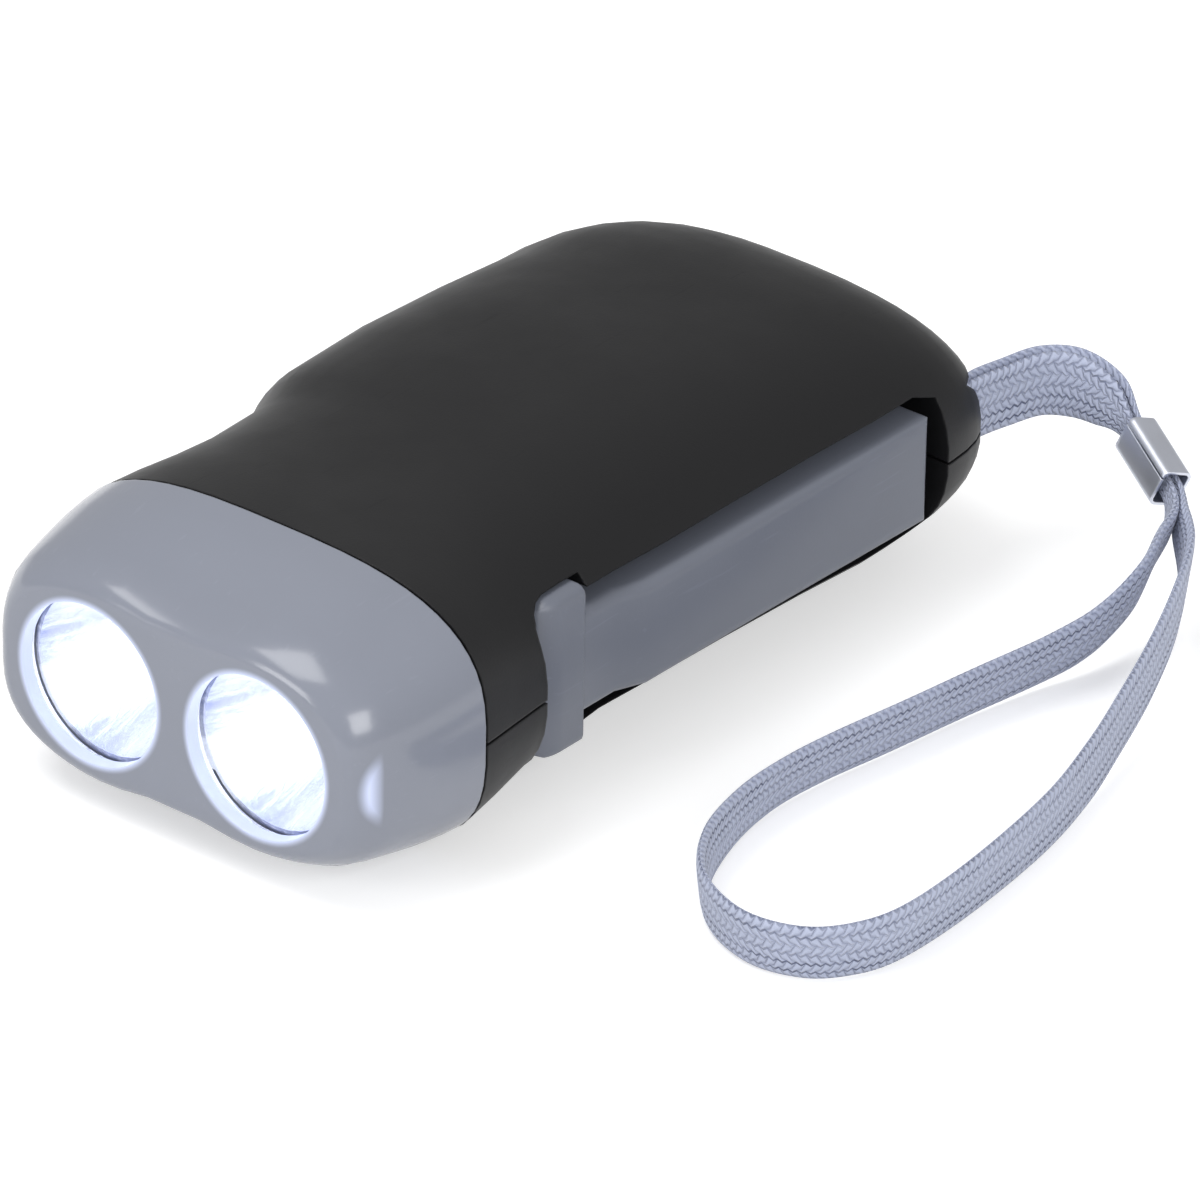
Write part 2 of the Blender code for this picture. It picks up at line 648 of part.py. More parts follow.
def screw_holes():
    bm = bmesh.new()
    for x, y in SCREWS:
        add_post(bm, x, y, SCREW_SEAT - OVERRUN / 2, SCREW_SEAT + SCREW_DEPTH + GAP,
                 SCREW_RADIUS + GAP, ROUND_STEPS)
    return cutter("screw_holes", bm)


def screw_recesses():
    bm = bmesh.new()
    for x, y in SCREWS:
        add_post(bm, x, y, -HALF_HEIGHT - OVERRUN, SCREW_SEAT, SCREW_HEAD_RADIUS + GAP, ROUND_STEPS)
    return cutter("screw_recesses", bm)


def strap_slot():
    """The slot in the tail, with the room that the strap needs round its bar."""
    half = STRAP_WIDTH / 2 + SLOT_CLEARANCE
    low, high = STRAP_HEIGHT - half, STRAP_HEIGHT + half
    room = STRAP_BAR_RADIUS + STRAP_THICKNESS + SLOT_CLEARANCE
    middle = STRAP_BAR_X + SLOT_SHIFT
    bm = bmesh.new()
    add_box(bm, (middle - SLOT_WIDTH / 2, STRAP_BAR_Y - room, low),
            (middle + SLOT_WIDTH / 2, TORCH_LENGTH + OVERRUN, high))
    slot = cutter("strap_slot", bm)
    return join(slot, box("bar_room", (STRAP_BAR_X - room, STRAP_BAR_Y - room + GAP / 2, low + GAP / 2),
                          (middle, STRAP_BAR_Y + room, high - GAP / 2)))


def make_shells(finish):
    """Upper and lower shell: the outer form, less the hollow, the lever opening and the holes."""
    shared = (*opening_cutters(), bores(), screw_holes(), strap_slot())
    wall = pocket_wall()
    recesses = screw_recesses()
    for side, name in ((1, "upper_shell"), (-1, "lower_shell")):
        bm = loft(body_rings(0.0, SHELL_POINTS, HEAD_LENGTH + GAP))
        keep_side(bm, (0, 0, side * GAP / 2), (0, 0, side))
        keep_side(bm, (0, 0, -REST_DEPTH), (0, 0, 1))
        shell = solid(name, bm, finish)
        hollow = loft(body_rings(WALL, HOLLOW_POINTS, HEAD_LENGTH - OVERRUN, 2))
        hollow = cutter(f"{name}_hollow", hollow)
        cut(hollow, *seats(side), wall)
        cut(shell, hollow).modifiers[-1].use_self = True
        cut(shell, *shared)
        if side < 0:
            cut(shell, recesses)


def make_head(finish):
    """Grey head: a lofted cap with a spigot that plugs into the shells, and two windows."""
    spigot = WALL + SPIGOT_EASE
    back = HEAD_LENGTH + SPIGOT_DEPTH
    rings = head_rings(0.0, HEAD_POINTS)
    rings += [joint_ring(HEAD_LENGTH, spigot, HEAD_POINTS),
              joint_ring(back, spigot + 2 * GAP, HEAD_POINTS)]
    bm = loft(rings)
    keep_side(bm, (0, 0, -REST_DEPTH), (0, 0, 1))
    head = solid("head_cap", bm, finish)
    inner = head_rings(WALL, HOLLOW_POINTS, FRONT_WALL / HEAD_LENGTH)[:-1]
    inner.insert(0, [Vector((p.x, FRONT_WALL, p.z)) for p in inner[0]])
    inner.append(joint_ring(HEAD_LENGTH - GAP, spigot + SPIGOT_WALL, HOLLOW_POINTS))
    inner.append(joint_ring(back + OVERRUN, spigot + SPIGOT_WALL, HOLLOW_POINTS))
    cut(head, cutter("head_hollow", loft(inner)))
    for side, word in ((-1, "left"), (1, "right")):
        for name, low, high, radius in (
            ("window", -OVERRUN, CUP_FRONT, WINDOW_RADIUS),
            ("lens_seat", FRONT_WALL, CUP_FRONT + GAP, WINDOW_RADIUS + LENS_LAP + GAP),
        ):
            bm = bmesh.new()
            lay_forward(bm, add_post(bm, 0, 0, low, high, radius, 56), side * LENS_SPACING / 2)
            cut(head, cutter(f"{name}_{word}", bm))


def lay_forward(bm, made, x):
    """Turn an upright post so that its height runs along y, and stand it at x."""
    bmesh.ops.rotate(bm, verts=made, matrix=Matrix.Rotation(-math.pi / 2, 3, "X"))
    bmesh.ops.translate(bm, verts=made, vec=(x, 0, 0))


def make_lamps(clear, mirror, bulb, green):
    backwards = (-math.pi / 2, 0, 0)
    bowls = []
    for side, word in ((-1, "left"), (1, "right")):
        x = side * LENS_SPACING / 2
        lap = WINDOW_RADIUS + LENS_LAP
        turned(f"lens_{word}", [(0, LENS_THICKNESS), (lap, LENS_THICKNESS), (lap, 0), (0, 0)],
               (x, LENS_FRONT, 0), clear, backwards, 56)
        bowl = [(CUP_THROAT + (CUP_MOUTH - CUP_THROAT) * math.sqrt(1 - s), s * CUP_DEPTH)
                for s in CUP_SHARES]
        outer = [(r + CUP_WALL, h) for r, h in bowl]
        cup = turned(f"cup_{word}", bowl + outer[::-1], (x, CUP_FRONT, 0), None, backwards, 32)
        close_ring(cup)
        bowls.append(hide_cutter(cup))
        dome = [(LED_RADIUS * math.sin(a), LED_HEIGHT - LED_RADIUS * (1 - math.cos(a)))
                for a in [math.radians(18 * step) for step in range(6)]]
        flange = LED_RADIUS + LED_FLANGE
        body = dome + [(LED_RADIUS, LED_FLANGE * 2), (flange, LED_FLANGE * 2), (flange, 0), (0, 0)]
        turned(f"led_{word}", body, (x, LED_BASE, 0), bulb, (math.pi / 2, 0, 0), ROUND_STEPS)
    bm = bmesh.new()
    add_box(bm, (-LENS_SPACING / 2, CUP_FRONT, -CUP_MOUTH * 0.62),
            (LENS_SPACING / 2, CUP_FRONT + CUP_WALL, CUP_MOUTH * 0.62))
    web = solid("reflector", bm, mirror)
    bm = bmesh.new()
    for side in (-1, 1):
        made = add_post(bm, 0, 0, CUP_FRONT - OVERRUN, CUP_FRONT + OVERRUN,
                        CUP_MOUTH + CUP_WALL / 2, 32)
        lay_forward(bm, made, side * LENS_SPACING / 2)
    cut(web, cutter("cup_mouths", bm))
    join(web, *bowls)
    bm = bmesh.new()
    add_box(bm, (-LED_BOARD_WIDTH / 2, LED_BOARD_FRONT, -LED_BOARD_HEIGHT / 2),
            (LED_BOARD_WIDTH / 2, LED_BOARD_FRONT + BOARD_THICKNESS, LED_BOARD_HEIGHT / 2))
    solid("led_board", bm, green)


def close_ring(piece):
    """Join the last point of a turned profile to its first, for a section that misses the axis."""
    mesh = piece.data
    points = [vertex.co.copy() for vertex in mesh.vertices]
    count = len(points)
    mesh.clear_geometry()
    mesh.from_pydata(points, [(i, (i + 1) % count) for i in range(count)], [])


def make_lever(finish):
    """Squeeze lever: hinge block, neck, hollow grip and toothed sector in one moulding."""
    neck = PIVOT_X + HUB_RADIUS - GAP / 2
    inner = GRIP_FACE - GRIP_THICKNESS - LEVER_TAPER
    outline = [
        (inner, PIVOT_Y), (neck, PIVOT_Y), (neck, GRIP_START), (GRIP_FACE, GRIP_START + GRIP_RAMP),
        (GRIP_FACE, GRIP_END - GRIP_ROUND / 2), (GRIP_FACE - GRIP_ROUND / 3, GRIP_END),
        (inner, GRIP_END),
    ]
    bm = bmesh.new()
    add_prism(bm, outline, -GRIP_HALF_HEIGHT, GRIP_HALF_HEIGHT)
    rims = [edge for edge in bm.edges
            if min(v.co.x for v in edge.verts) > inner + GAP
            and abs(edge.verts[0].co.z - edge.verts[1].co.z) < GAP
            and abs(edge.verts[0].co.y - edge.verts[1].co.y) > GRIP_ROUND]
    bmesh.ops.bevel(bm, geom=rims, offset=GRIP_ROUND, offset_type="OFFSET", segments=4,
                    profile=0.5, affect="EDGES", material=-1)
    lever = solid("lever", bm, finish, (*PIVOT, 0))

    bm = bmesh.new()
    front = [(PIVOT_X + HUB_RADIUS * math.cos(a), PIVOT_Y + HUB_RADIUS * math.sin(a))
             for a in [math.pi + math.pi * step / 18 for step in range(19)]]
    back = PIVOT_Y + HUB_LENGTH
    outline = front + [(PIVOT_X + HUB_RADIUS, back), (PIVOT_X - HUB_RADIUS, back)]
    add_prism(bm, outline, -HUB_HALF_HEIGHT, HUB_HALF_HEIGHT)
    rims = [edge for edge in bm.edges
            if abs(edge.verts[0].co.z - edge.verts[1].co.z) < GAP
            and max(v.co.y for v in edge.verts) - min(v.co.y for v in edge.verts) > GAP / 10]
    bmesh.ops.bevel(bm, geom=rims, offset=HUB_ROUND, offset_type="OFFSET", segments=3,
                    profile=0.5, affect="EDGES", material=-1)
    hub = cutter("hub_block", bm)
    for swing in (0.0, LEVER_TRAVEL):
        limit = side_prism("hub_limit", hub_outline(GAP), -HALF_WIDTH, 2 * HALF_WIDTH, swing)
        change(hub, limit, "INTERSECT")

    bm = bmesh.new()
    inside = SECTOR_RADIUS - SECTOR_WIDTH
    root = SECTOR_RADIUS - DEDENDUM_SHARE * DRIVE_MODULE
    quarter = math.pi / 2
    start = quarter - SECTOR_TAIL
    count = 1 + round((SECTOR_END - SECTOR_START) * SECTOR_TEETH / math.tau)
    arc = 12
    polar = [(root, start + (SECTOR_PHASE - start) * step / arc * 0.97)
             for step in range(arc)]
    polar += gear_points(SECTOR_TEETH, DRIVE_MODULE, SECTOR_PHASE, 0, count)
    tail = polar[-1][1]
    polar += [(inside, tail + (start - tail) * step / (2 * arc)) for step in range(2 * arc + 1)]
    add_prism(bm, around(PIVOT, polar), SECTOR_FLOOR, SECTOR_TOP)
    sector = cutter("lever_sector", bm)

    channel = box("lever_channel",
                  (inner - OVERRUN, GRIP_START + GRIP_RAMP, GRIP_WALL - GRIP_HALF_HEIGHT),
                  (GRIP_FACE - GRIP_WALL, GRIP_END - GRIP_WALL, GRIP_HALF_HEIGHT - GRIP_WALL))
    low, high = spring_span()
    low, high = low - LAYER_GAP, high + LAYER_GAP
    left = PIVOT_X - HUB_RADIUS * 2
    pocket = (
        post("spring_pocket", *PIVOT, low, high, SPRING_RADIUS + SPRING_WIRE + GAP * 2, 32),
        box("upper_leg_room", (left, PIVOT_Y, low), (inner - GAP / 10, GRIP_START, high)),
        box("lower_leg_room", (left, PIVOT_Y - HUB_RADIUS * 2, low), (PIVOT_X, PIVOT_Y + GAP, high)),
    )
    pin_hole = post("pin_hole", *PIVOT, -HALF_HEIGHT, HALF_HEIGHT, PIN_RADIUS + PIN_CLEARANCE, ROUND_STEPS)
    cut(lever, channel)
    join(lever, hub, sector)
    cut(lever, *pocket, pin_hole)


def spring_span():
    middle = HUB_HALF_HEIGHT * SPRING_LEVEL_SHARE
    half = SPRING_COILS * SPRING_PITCH / 2
    return middle - half, middle + half


def make_spring(finish):
    """Torsion spring round the hinge pin: one leg on the lever, the other on a post."""
    low, high = spring_span()
    turns = SPRING_COILS + 0.25
    count = round(turns * SPRING_STEPS)
    route = [(PIVOT_X - SPRING_RADIUS, PIVOT_Y + SPRING_LEG, high)]
    for step in range(count + 1):
        angle = math.pi + math.tau * turns * step / count
        height = high + (low - high) * step / count
        route.append((*beside(PIVOT, SPRING_RADIUS, angle), height))
    route.append((PIVOT_X - SPRING_LEG, PIVOT_Y - SPRING_RADIUS, low))
    tube("return_spring", route, SPRING_WIRE, finish, 1)


def tube(name, route, radius, finish, resolution=2):
    curve = bpy.data.curves.new(name, "CURVE")
    curve.dimensions = "3D"
    curve.bevel_depth = radius
    curve.bevel_resolution = resolution
    curve.use_fill_caps = True
    line = curve.splines.new("POLY")
    line.points.add(len(route) - 1)
    for point, co in zip(line.points, route):
        point.co = (*co, 1)
    return place(name, curve, (0, 0, 0), finish)


def wheel_solid(name, pieces, at, finish):
    """A gear made of stacked outlines, each with its lower and upper height."""
    made = None
    for index, (outline, low, high) in enumerate(pieces):
        bm = bmesh.new()
        add_prism(bm, outline, low, high)
        if made is None:
            made = solid(name, bm, finish, at)
        else:
            join(made, cutter(f"{name}_{index}", bm))
    return made


def circle(centre, radius, count=20, turn=0.0):
    return around(centre, [(radius, turn + math.tau * step / count) for step in range(count)])


def make_train(white, amber, steel):
    """Drive pinion with its pawls, two step-up gears and their steel axles."""
    pinion = around(DRIVE_AXLE, gear_points(PINION_TEETH, DRIVE_MODULE, DRIVE_PHASE))
    pawl_low = RATCHET_FLOOR + GAP
    pawl_high = FIRST_FLOOR - GAP
    drive = wheel_solid("drive_pinion", [
        (pinion, SECTOR_FLOOR - GAP / 2, SECTOR_TOP + GAP),
        (circle(DRIVE_AXLE, AXLE_RADIUS + POST_WALL), SECTOR_TOP, pawl_high),
        (around(DRIVE_AXLE, pawl_points()), pawl_low, pawl_high),
    ], (*DRIVE_AXLE, 0), amber)
    cut(drive, axle_hole("drive_hole", DRIVE_AXLE))

    first = wheel_solid("step_gear_1", [
        (around(DRIVE_AXLE, gear_points(WHEEL_TEETH, STEP_MODULE, 0.0)), FIRST_FLOOR, FIRST_TOP),
        (circle(DRIVE_AXLE, RATCHET_RADIUS + RATCHET_DEPTH + POST_WALL), RATCHET_FLOOR,
         FIRST_FLOOR + GAP),
    ], (*DRIVE_AXLE, 0), white)
    bm = bmesh.new()
    add_prism(bm, around(DRIVE_AXLE, ratchet_points()), RATCHET_FLOOR - OVERRUN, FIRST_FLOOR)
    cut(first, cutter("ratchet_teeth", bm), axle_hole("first_hole", DRIVE_AXLE))

    pinion = around(SECOND_AXLE, gear_points(PINION_TEETH, STEP_MODULE, SECOND_PHASE))
    second = wheel_solid("step_gear_2", [
        (around(SECOND_AXLE, gear_points(WHEEL_TEETH, STEP_MODULE, 0.0)), SECOND_FLOOR, SECOND_TOP),
        (pinion, FIRST_FLOOR, SECOND_FLOOR + GAP),
    ], (*SECOND_AXLE, 0), white)
    cut(second, axle_hole("second_hole", SECOND_AXLE))

    for name, (axle, low, high) in zip(("drive_axle", "idler_axle", "rotor_axle"), axle_spans()):
        bm = bmesh.new()
        add_post(bm, *axle, low, high, AXLE_RADIUS, ROUND_STEPS)
        solid(name, bm, steel, (*axle, 0))
    bm = bmesh.new()
    add_post(bm, *PIVOT, -PIN_REACH, PIN_REACH, PIN_RADIUS, ROUND_STEPS)
    solid("hinge_pin", bm, steel, (*PIVOT, 0))


def axle_hole(name, axle):
    return post(name, *axle, -HALF_HEIGHT, HALF_HEIGHT, AXLE_RADIUS + PIN_CLEARANCE, ROUND_STEPS)


def pawl_points():
    """Two springy pawls that trail round the drive pinion's collar."""
    reach = RATCHET_RADIUS - PAWL_EASE
    collar = AXLE_RADIUS + POST_WALL
    polar = []
    for side in range(2):
        turn = side * math.pi
        polar += [(collar, turn), (reach, turn + 0.9), (reach, turn + 1.15),
                  (reach - RATCHET_PAWL * 1.4, turn + 1.0), (collar + RATCHET_PAWL / 4, turn + 1.6),
                  (collar + RATCHET_PAWL / 4, turn + 2.6)]
    return polar


def ratchet_points():
    polar = []
    for tooth in range(RATCHET_TEETH):
        angle = math.tau * tooth / RATCHET_TEETH
        polar.append((RATCHET_RADIUS, angle))
        polar.append((RATCHET_RADIUS + RATCHET_DEPTH, angle + math.tau / RATCHET_TEETH * 0.85))
    return polar


def make_rotor(white, magnet, steel):
    """Rotor: a pinion on a long sleeve, with the ring magnet and the flywheel pressed on."""
    pinion = around(ROTOR_AXLE, gear_points(PINION_TEETH, STEP_MODULE, ROTOR_PHASE))
    rotor = wheel_solid("rotor_pinion", [
        (circle(ROTOR_AXLE, ROTOR_HUB_RADIUS), MAGNET_FLOOR + GAP, SECOND_FLOOR),
        (pinion, SECOND_FLOOR - GAP, SECOND_TOP + GAP),
    ], (*ROTOR_AXLE, 0), white)
    cut(rotor, axle_hole("rotor_hole", ROTOR_AXLE))
    bore = ROTOR_HUB_RADIUS + GAP
    for name, radius, low, high, finish in (
        ("ring_magnet", MAGNET_RADIUS, MAGNET_FLOOR, MAGNET_TOP, magnet),
        ("flywheel", FLYWHEEL_RADIUS, FLYWHEEL_FLOOR, FLYWHEEL_TOP, steel),
    ):
        bm = bmesh.new()
        add_post(bm, *ROTOR_AXLE, low, high, radius, LARGE_STEPS)
        ring = solid(name, bm, finish, (*ROTOR_AXLE, 0))
        cut(ring, post(f"{name}_bore", *ROTOR_AXLE, low - OVERRUN, high + OVERRUN, bore, ROUND_STEPS))


def make_stator(iron, plastic, copper):
    """Laminated core whose two poles hold the magnet, and the coil on its bobbin."""
    x, y = ROTOR_AXLE
    low, high = CORE_MIDDLE - CORE_THICKNESS / 2, CORE_MIDDLE + CORE_THICKNESS / 2
    half_slot = BOBBIN_LENGTH / 2 + GAP
    bar = CORE_THICKNESS / 2
    outline = [
        (x - CORE_OUTSIDE, COIL_Y - bar), (x + CORE_OUTSIDE, COIL_Y - bar),
        (x + CORE_OUTSIDE, y + POLE_LENGTH), (x + half_slot, y + POLE_LENGTH),
        (x + half_slot, COIL_Y + bar), (x - half_slot, COIL_Y + bar),
        (x - half_slot, y + POLE_LENGTH), (x - CORE_OUTSIDE, y + POLE_LENGTH),
    ]
    bm = bmesh.new()
    add_prism(bm, outline, low, high)
    core = solid("stator_core", bm, iron)
    cut(core, post("pole_bore", x, y, low - OVERRUN, high + OVERRUN, POLE_RADIUS, LARGE_STEPS))

    sideways = (0, math.pi / 2, 0)
    tunnel = bar * math.sqrt(2) + GAP
    sleeve = tunnel + BOBBIN_WALL
    end = BOBBIN_LENGTH
    profile = [
        (tunnel, end), (BOBBIN_RADIUS, end), (BOBBIN_RADIUS, end - BOBBIN_WALL),
        (sleeve, end - BOBBIN_WALL), (sleeve, BOBBIN_WALL), (BOBBIN_RADIUS, BOBBIN_WALL),
        (BOBBIN_RADIUS, 0), (tunnel, 0),
    ]
    at = (x - BOBBIN_LENGTH / 2, COIL_Y, CORE_MIDDLE)
    close_ring(turned("coil_bobbin", profile, at, plastic, sideways, 24))
    low, high = BOBBIN_WALL + GAP, end - BOBBIN_WALL - GAP
    inside = sleeve + GAP
    winding = [(inside, high), (COIL_RADIUS, high), (COIL_RADIUS, low), (inside, low)]
    close_ring(turned("coil", winding, at, copper, sideways, 24))


def make_electronics(green, blue, black, red):
    bm = bmesh.new()
    add_box(bm, BOARD_LOW, BOARD_HIGH)
    solid("circuit_board", bm, green)
    can_x = BOARD_LOW.x + GAP * 2
    can = [(0, CAPACITOR_LENGTH), (CAPACITOR_RADIUS, CAPACITOR_LENGTH), (CAPACITOR_RADIUS, 0), (0, 0)]
    turned("capacitor", can, (can_x, BOARD_Y, BOARD_TOP + GAP + CAPACITOR_RADIUS), blue,
           (0, math.pi / 2, 0), 32)
    for index in range(4):
        bm = bmesh.new()
        y = BOARD_LOW.y + (index + 0.5) * BOARD_LENGTH / 4
        made = bmesh.ops.create_cone(bm, cap_ends=True, segments=16, radius1=DIODE_RADIUS,
                                     radius2=DIODE_RADIUS, depth=DIODE_LENGTH)["verts"]
        bmesh.ops.rotate(bm, verts=made, matrix=Matrix.Rotation(math.pi / 2, 3, "Y"))
        bmesh.ops.translate(bm, verts=made, vec=(
            BOARD_HIGH.x - DIODE_LENGTH * 0.7, y, BOARD_TOP + GAP + DIODE_RADIUS))
        solid(f"rectifier_diode_{index + 1}", bm, black)
    top = BOARD_TOP + GAP + WIRE_RADIUS
    for index, side in enumerate((-1, 1)):
        board = (side * LED_BOARD_WIDTH * 0.18, LED_BOARD_FRONT + BOARD_THICKNESS + GAP, 0)
        sweep = (BOARD_X + side * BOARD_WIDTH * 0.18, BOARD_LOW.y + GAP * 3, top)
        route = [board, (board[0], board[1] + WIRE_RADIUS * 3, -WIRE_RADIUS * 2),
                 (sweep[0], sweep[1] - WIRE_RADIUS * 3, top + WIRE_RADIUS), sweep]
        tube(f"lamp_wire_{index + 1}", smooth_route(route, 4), WIRE_RADIUS, (red, black)[index], 1)
        coil = (ROTOR_AXLE[0] + side * BOBBIN_LENGTH * 0.3, COIL_Y - BOBBIN_RADIUS - GAP - WIRE_RADIUS,
                CORE_MIDDLE)
        end = (BOARD_X + side * BOARD_WIDTH * 0.18 - WIRE_RADIUS * 4, BOARD_HIGH.y - GAP * 3, top)
        route = [coil, (coil[0], coil[1] - WIRE_RADIUS * 2, CORE_MIDDLE + WIRE_RADIUS * 4),
                 (end[0], end[1] + WIRE_RADIUS * 3, top + WIRE_RADIUS), end]
        tube(f"coil_wire_{index + 1}", smooth_route(route, 4), WIRE_RADIUS, red, 1)


def make_screws(steel):
    """Self-tapping screws that hold the shells together, driven in from below."""
    profile = [(0, SCREW_DEPTH), (SCREW_RADIUS, SCREW_DEPTH), (SCREW_RADIUS, 0),
               (SCREW_HEAD_RADIUS, 0), (SCREW_HEAD_RADIUS, -SCREW_HEAD_HEIGHT),
               (0, -SCREW_HEAD_HEIGHT)]
    for index, (x, y) in enumerate(SCREWS):
        turned(f"housing_screw_{index + 1}", profile, (x, y, SCREW_SEAT - GAP), steel, steps=ROUND_STEPS)


def smooth_route(points, steps):
    """Points along a smooth curve through a route's own points."""
    route = [Vector(point) for point in points]
    ends = [2 * route[0] - route[1]] + route + [2 * route[-1] - route[-2]]
    smooth = []
    for a, b, c, d in zip(ends, ends[1:], ends[2:], ends[3:]):
        for step in range(steps):
            t = step / steps
            smooth.append(0.5 * (2 * b + (c - a) * t + (2 * a - 5 * b + 4 * c - d) * t**2
                                 + (3 * b - a - 3 * c + d) * t**3))
    smooth.append(route[-1])
    return smooth


def ribbon(centres, widths, leans, thicknesses):
    """A flat strap on edge: a closed skin over leaning rectangles along the centre line."""
    rings = []
    last = len(centres) - 1
    for index, centre in enumerate(centres):
        along = (centres[min(index + 1, last)] - centres[max(index - 1, 0)]).normalized()
        across = along.cross(Vector((0, 0, 1))).normalized()
        across = Matrix.Rotation(leans[index], 3, along) @ across
        upright = across.cross(along)
        rings.append([centre + across * side * thicknesses[index] / 2
                      + upright * end * widths[index] / 2
                      for side, end in ((1, 1), (-1, 1), (-1, -1), (1, -1))])
    return loft(rings)


# Wrist strap: x, y and z along its centre line. The tail part is double, from the slot to the
# ferrule, and the loop part is single. Its width and its lean are shares of the full width and of
# a right angle at each of those points, and the ferrule pinches its thickness by shares too. From
# the loop's turn point on, the lean counts the other way.
LOOP_TURN = 20
TAIL_ROUTE = (
    (0.0203, 0.0950, 0.0015),
    (0.0206, 0.0975, 0.0015),
    (0.0212, 0.1003, 0.0015),
    (0.0228, 0.1043, 0.0018),
    (0.0256, 0.1067, 0.0015),
    (0.0294, 0.1071, 0.0007),
    (0.0328, 0.1061, -0.0006),
    (0.0371, 0.1040, -0.0020),
    (0.0412, 0.1019, -0.0032),
)
LOOP_ROUTE = (
    (0.0431, 0.0990, -0.0045),
    (0.0443, 0.0950, -0.0055),
    (0.0457, 0.0906, -0.0068),
    (0.0460, 0.0862, -0.0082),
    (0.0455, 0.0820, -0.0094),
    (0.0441, 0.0768, -0.0103),
    (0.0424, 0.0681, -0.0106),
    (0.0411, 0.0586, -0.0106),
    (0.0397, 0.0494, -0.0106),
    (0.0393, 0.0423, -0.0106),
    (0.0402, 0.0349, -0.0106),
    (0.0429, 0.0272, -0.0106),
    (0.0477, 0.0215, -0.0106),
    (0.0542, 0.0188, -0.0106),
    (0.0598, 0.0198, -0.0106),
    (0.0632, 0.0232, -0.0106),
    (0.0650, 0.0288, -0.0106),
    (0.0648, 0.0394, -0.0106),
    (0.0630, 0.0532, -0.0106),
    (0.0604, 0.0634, -0.0105),
    (0.0580, 0.0710, -0.0099),
    (0.0549, 0.0804, -0.0086),
    (0.0515, 0.0888, -0.0070),
    (0.0479, 0.0953, -0.0055),
    (0.0440, 0.0995, -0.0044),
)
TAIL_WIDTH_SHARES = (
    1.0, 1.0, 1.0, 1.0, 0.98, 0.80, 0.37, 0.33, 0.33,
)
LOOP_WIDTH_SHARES = (
    0.60, 0.86, 1.0, 1.0, 1.0, 1.0, 1.0, 1.0, 1.0, 1.0, 1.0, 1.0, 1.0, 1.0, 1.0, 1.0, 1.0, 1.0,
    1.0, 1.0, 1.0, 1.0, 1.0, 0.86, 0.60,
)
TAIL_PINCH_SHARES = (
    1.0, 1.0, 1.0, 1.0, 1.0, 0.90, 0.62, 0.60, 0.60,
)
TAIL_LEAN_SHARES = (
    0.0, 0.0, 0.0, -0.02, -0.05, -0.09, -0.16, -0.20, -0.20,
)
LOOP_LEAN_SHARES = (
    -0.18, -0.17, -0.17, -0.18, -0.19, -0.20, -0.20, -0.20, -0.20, -0.17, -0.08, 0.02, 0.10, 0.16,
    0.18, 0.16, 0.12, 0.08, 0.04, 0.0, 0.0, 0.0, -0.03, -0.10, -0.16,
)


def strand(offset):
    """The double part's points, moved sideways to one of its two strands."""
    moved = []
    last = len(TAIL_ROUTE) - 1
    for index, (x, y, z) in enumerate(TAIL_ROUTE):
        ahead = Vector(TAIL_ROUTE[min(index + 1, last)][:2])
        along = (ahead - Vector(TAIL_ROUTE[max(index - 1, 0)][:2])).normalized()
        aside = offset * TAIL_PINCH_SHARES[index]
        moved.append((x + along.y * aside, y - along.x * aside, z))
    return moved


def wrap(side, hug, leave):
    """Points that lead a strand from behind the strap bar round one of its sides."""
    start = -0.94 * math.pi / 2
    angles = [start + (leave - start) * step / 3 for step in range(4)]
    return [(STRAP_BAR_X + side * hug * math.cos(angle), STRAP_BAR_Y + hug * math.sin(angle),
             STRAP_HEIGHT) for angle in angles]


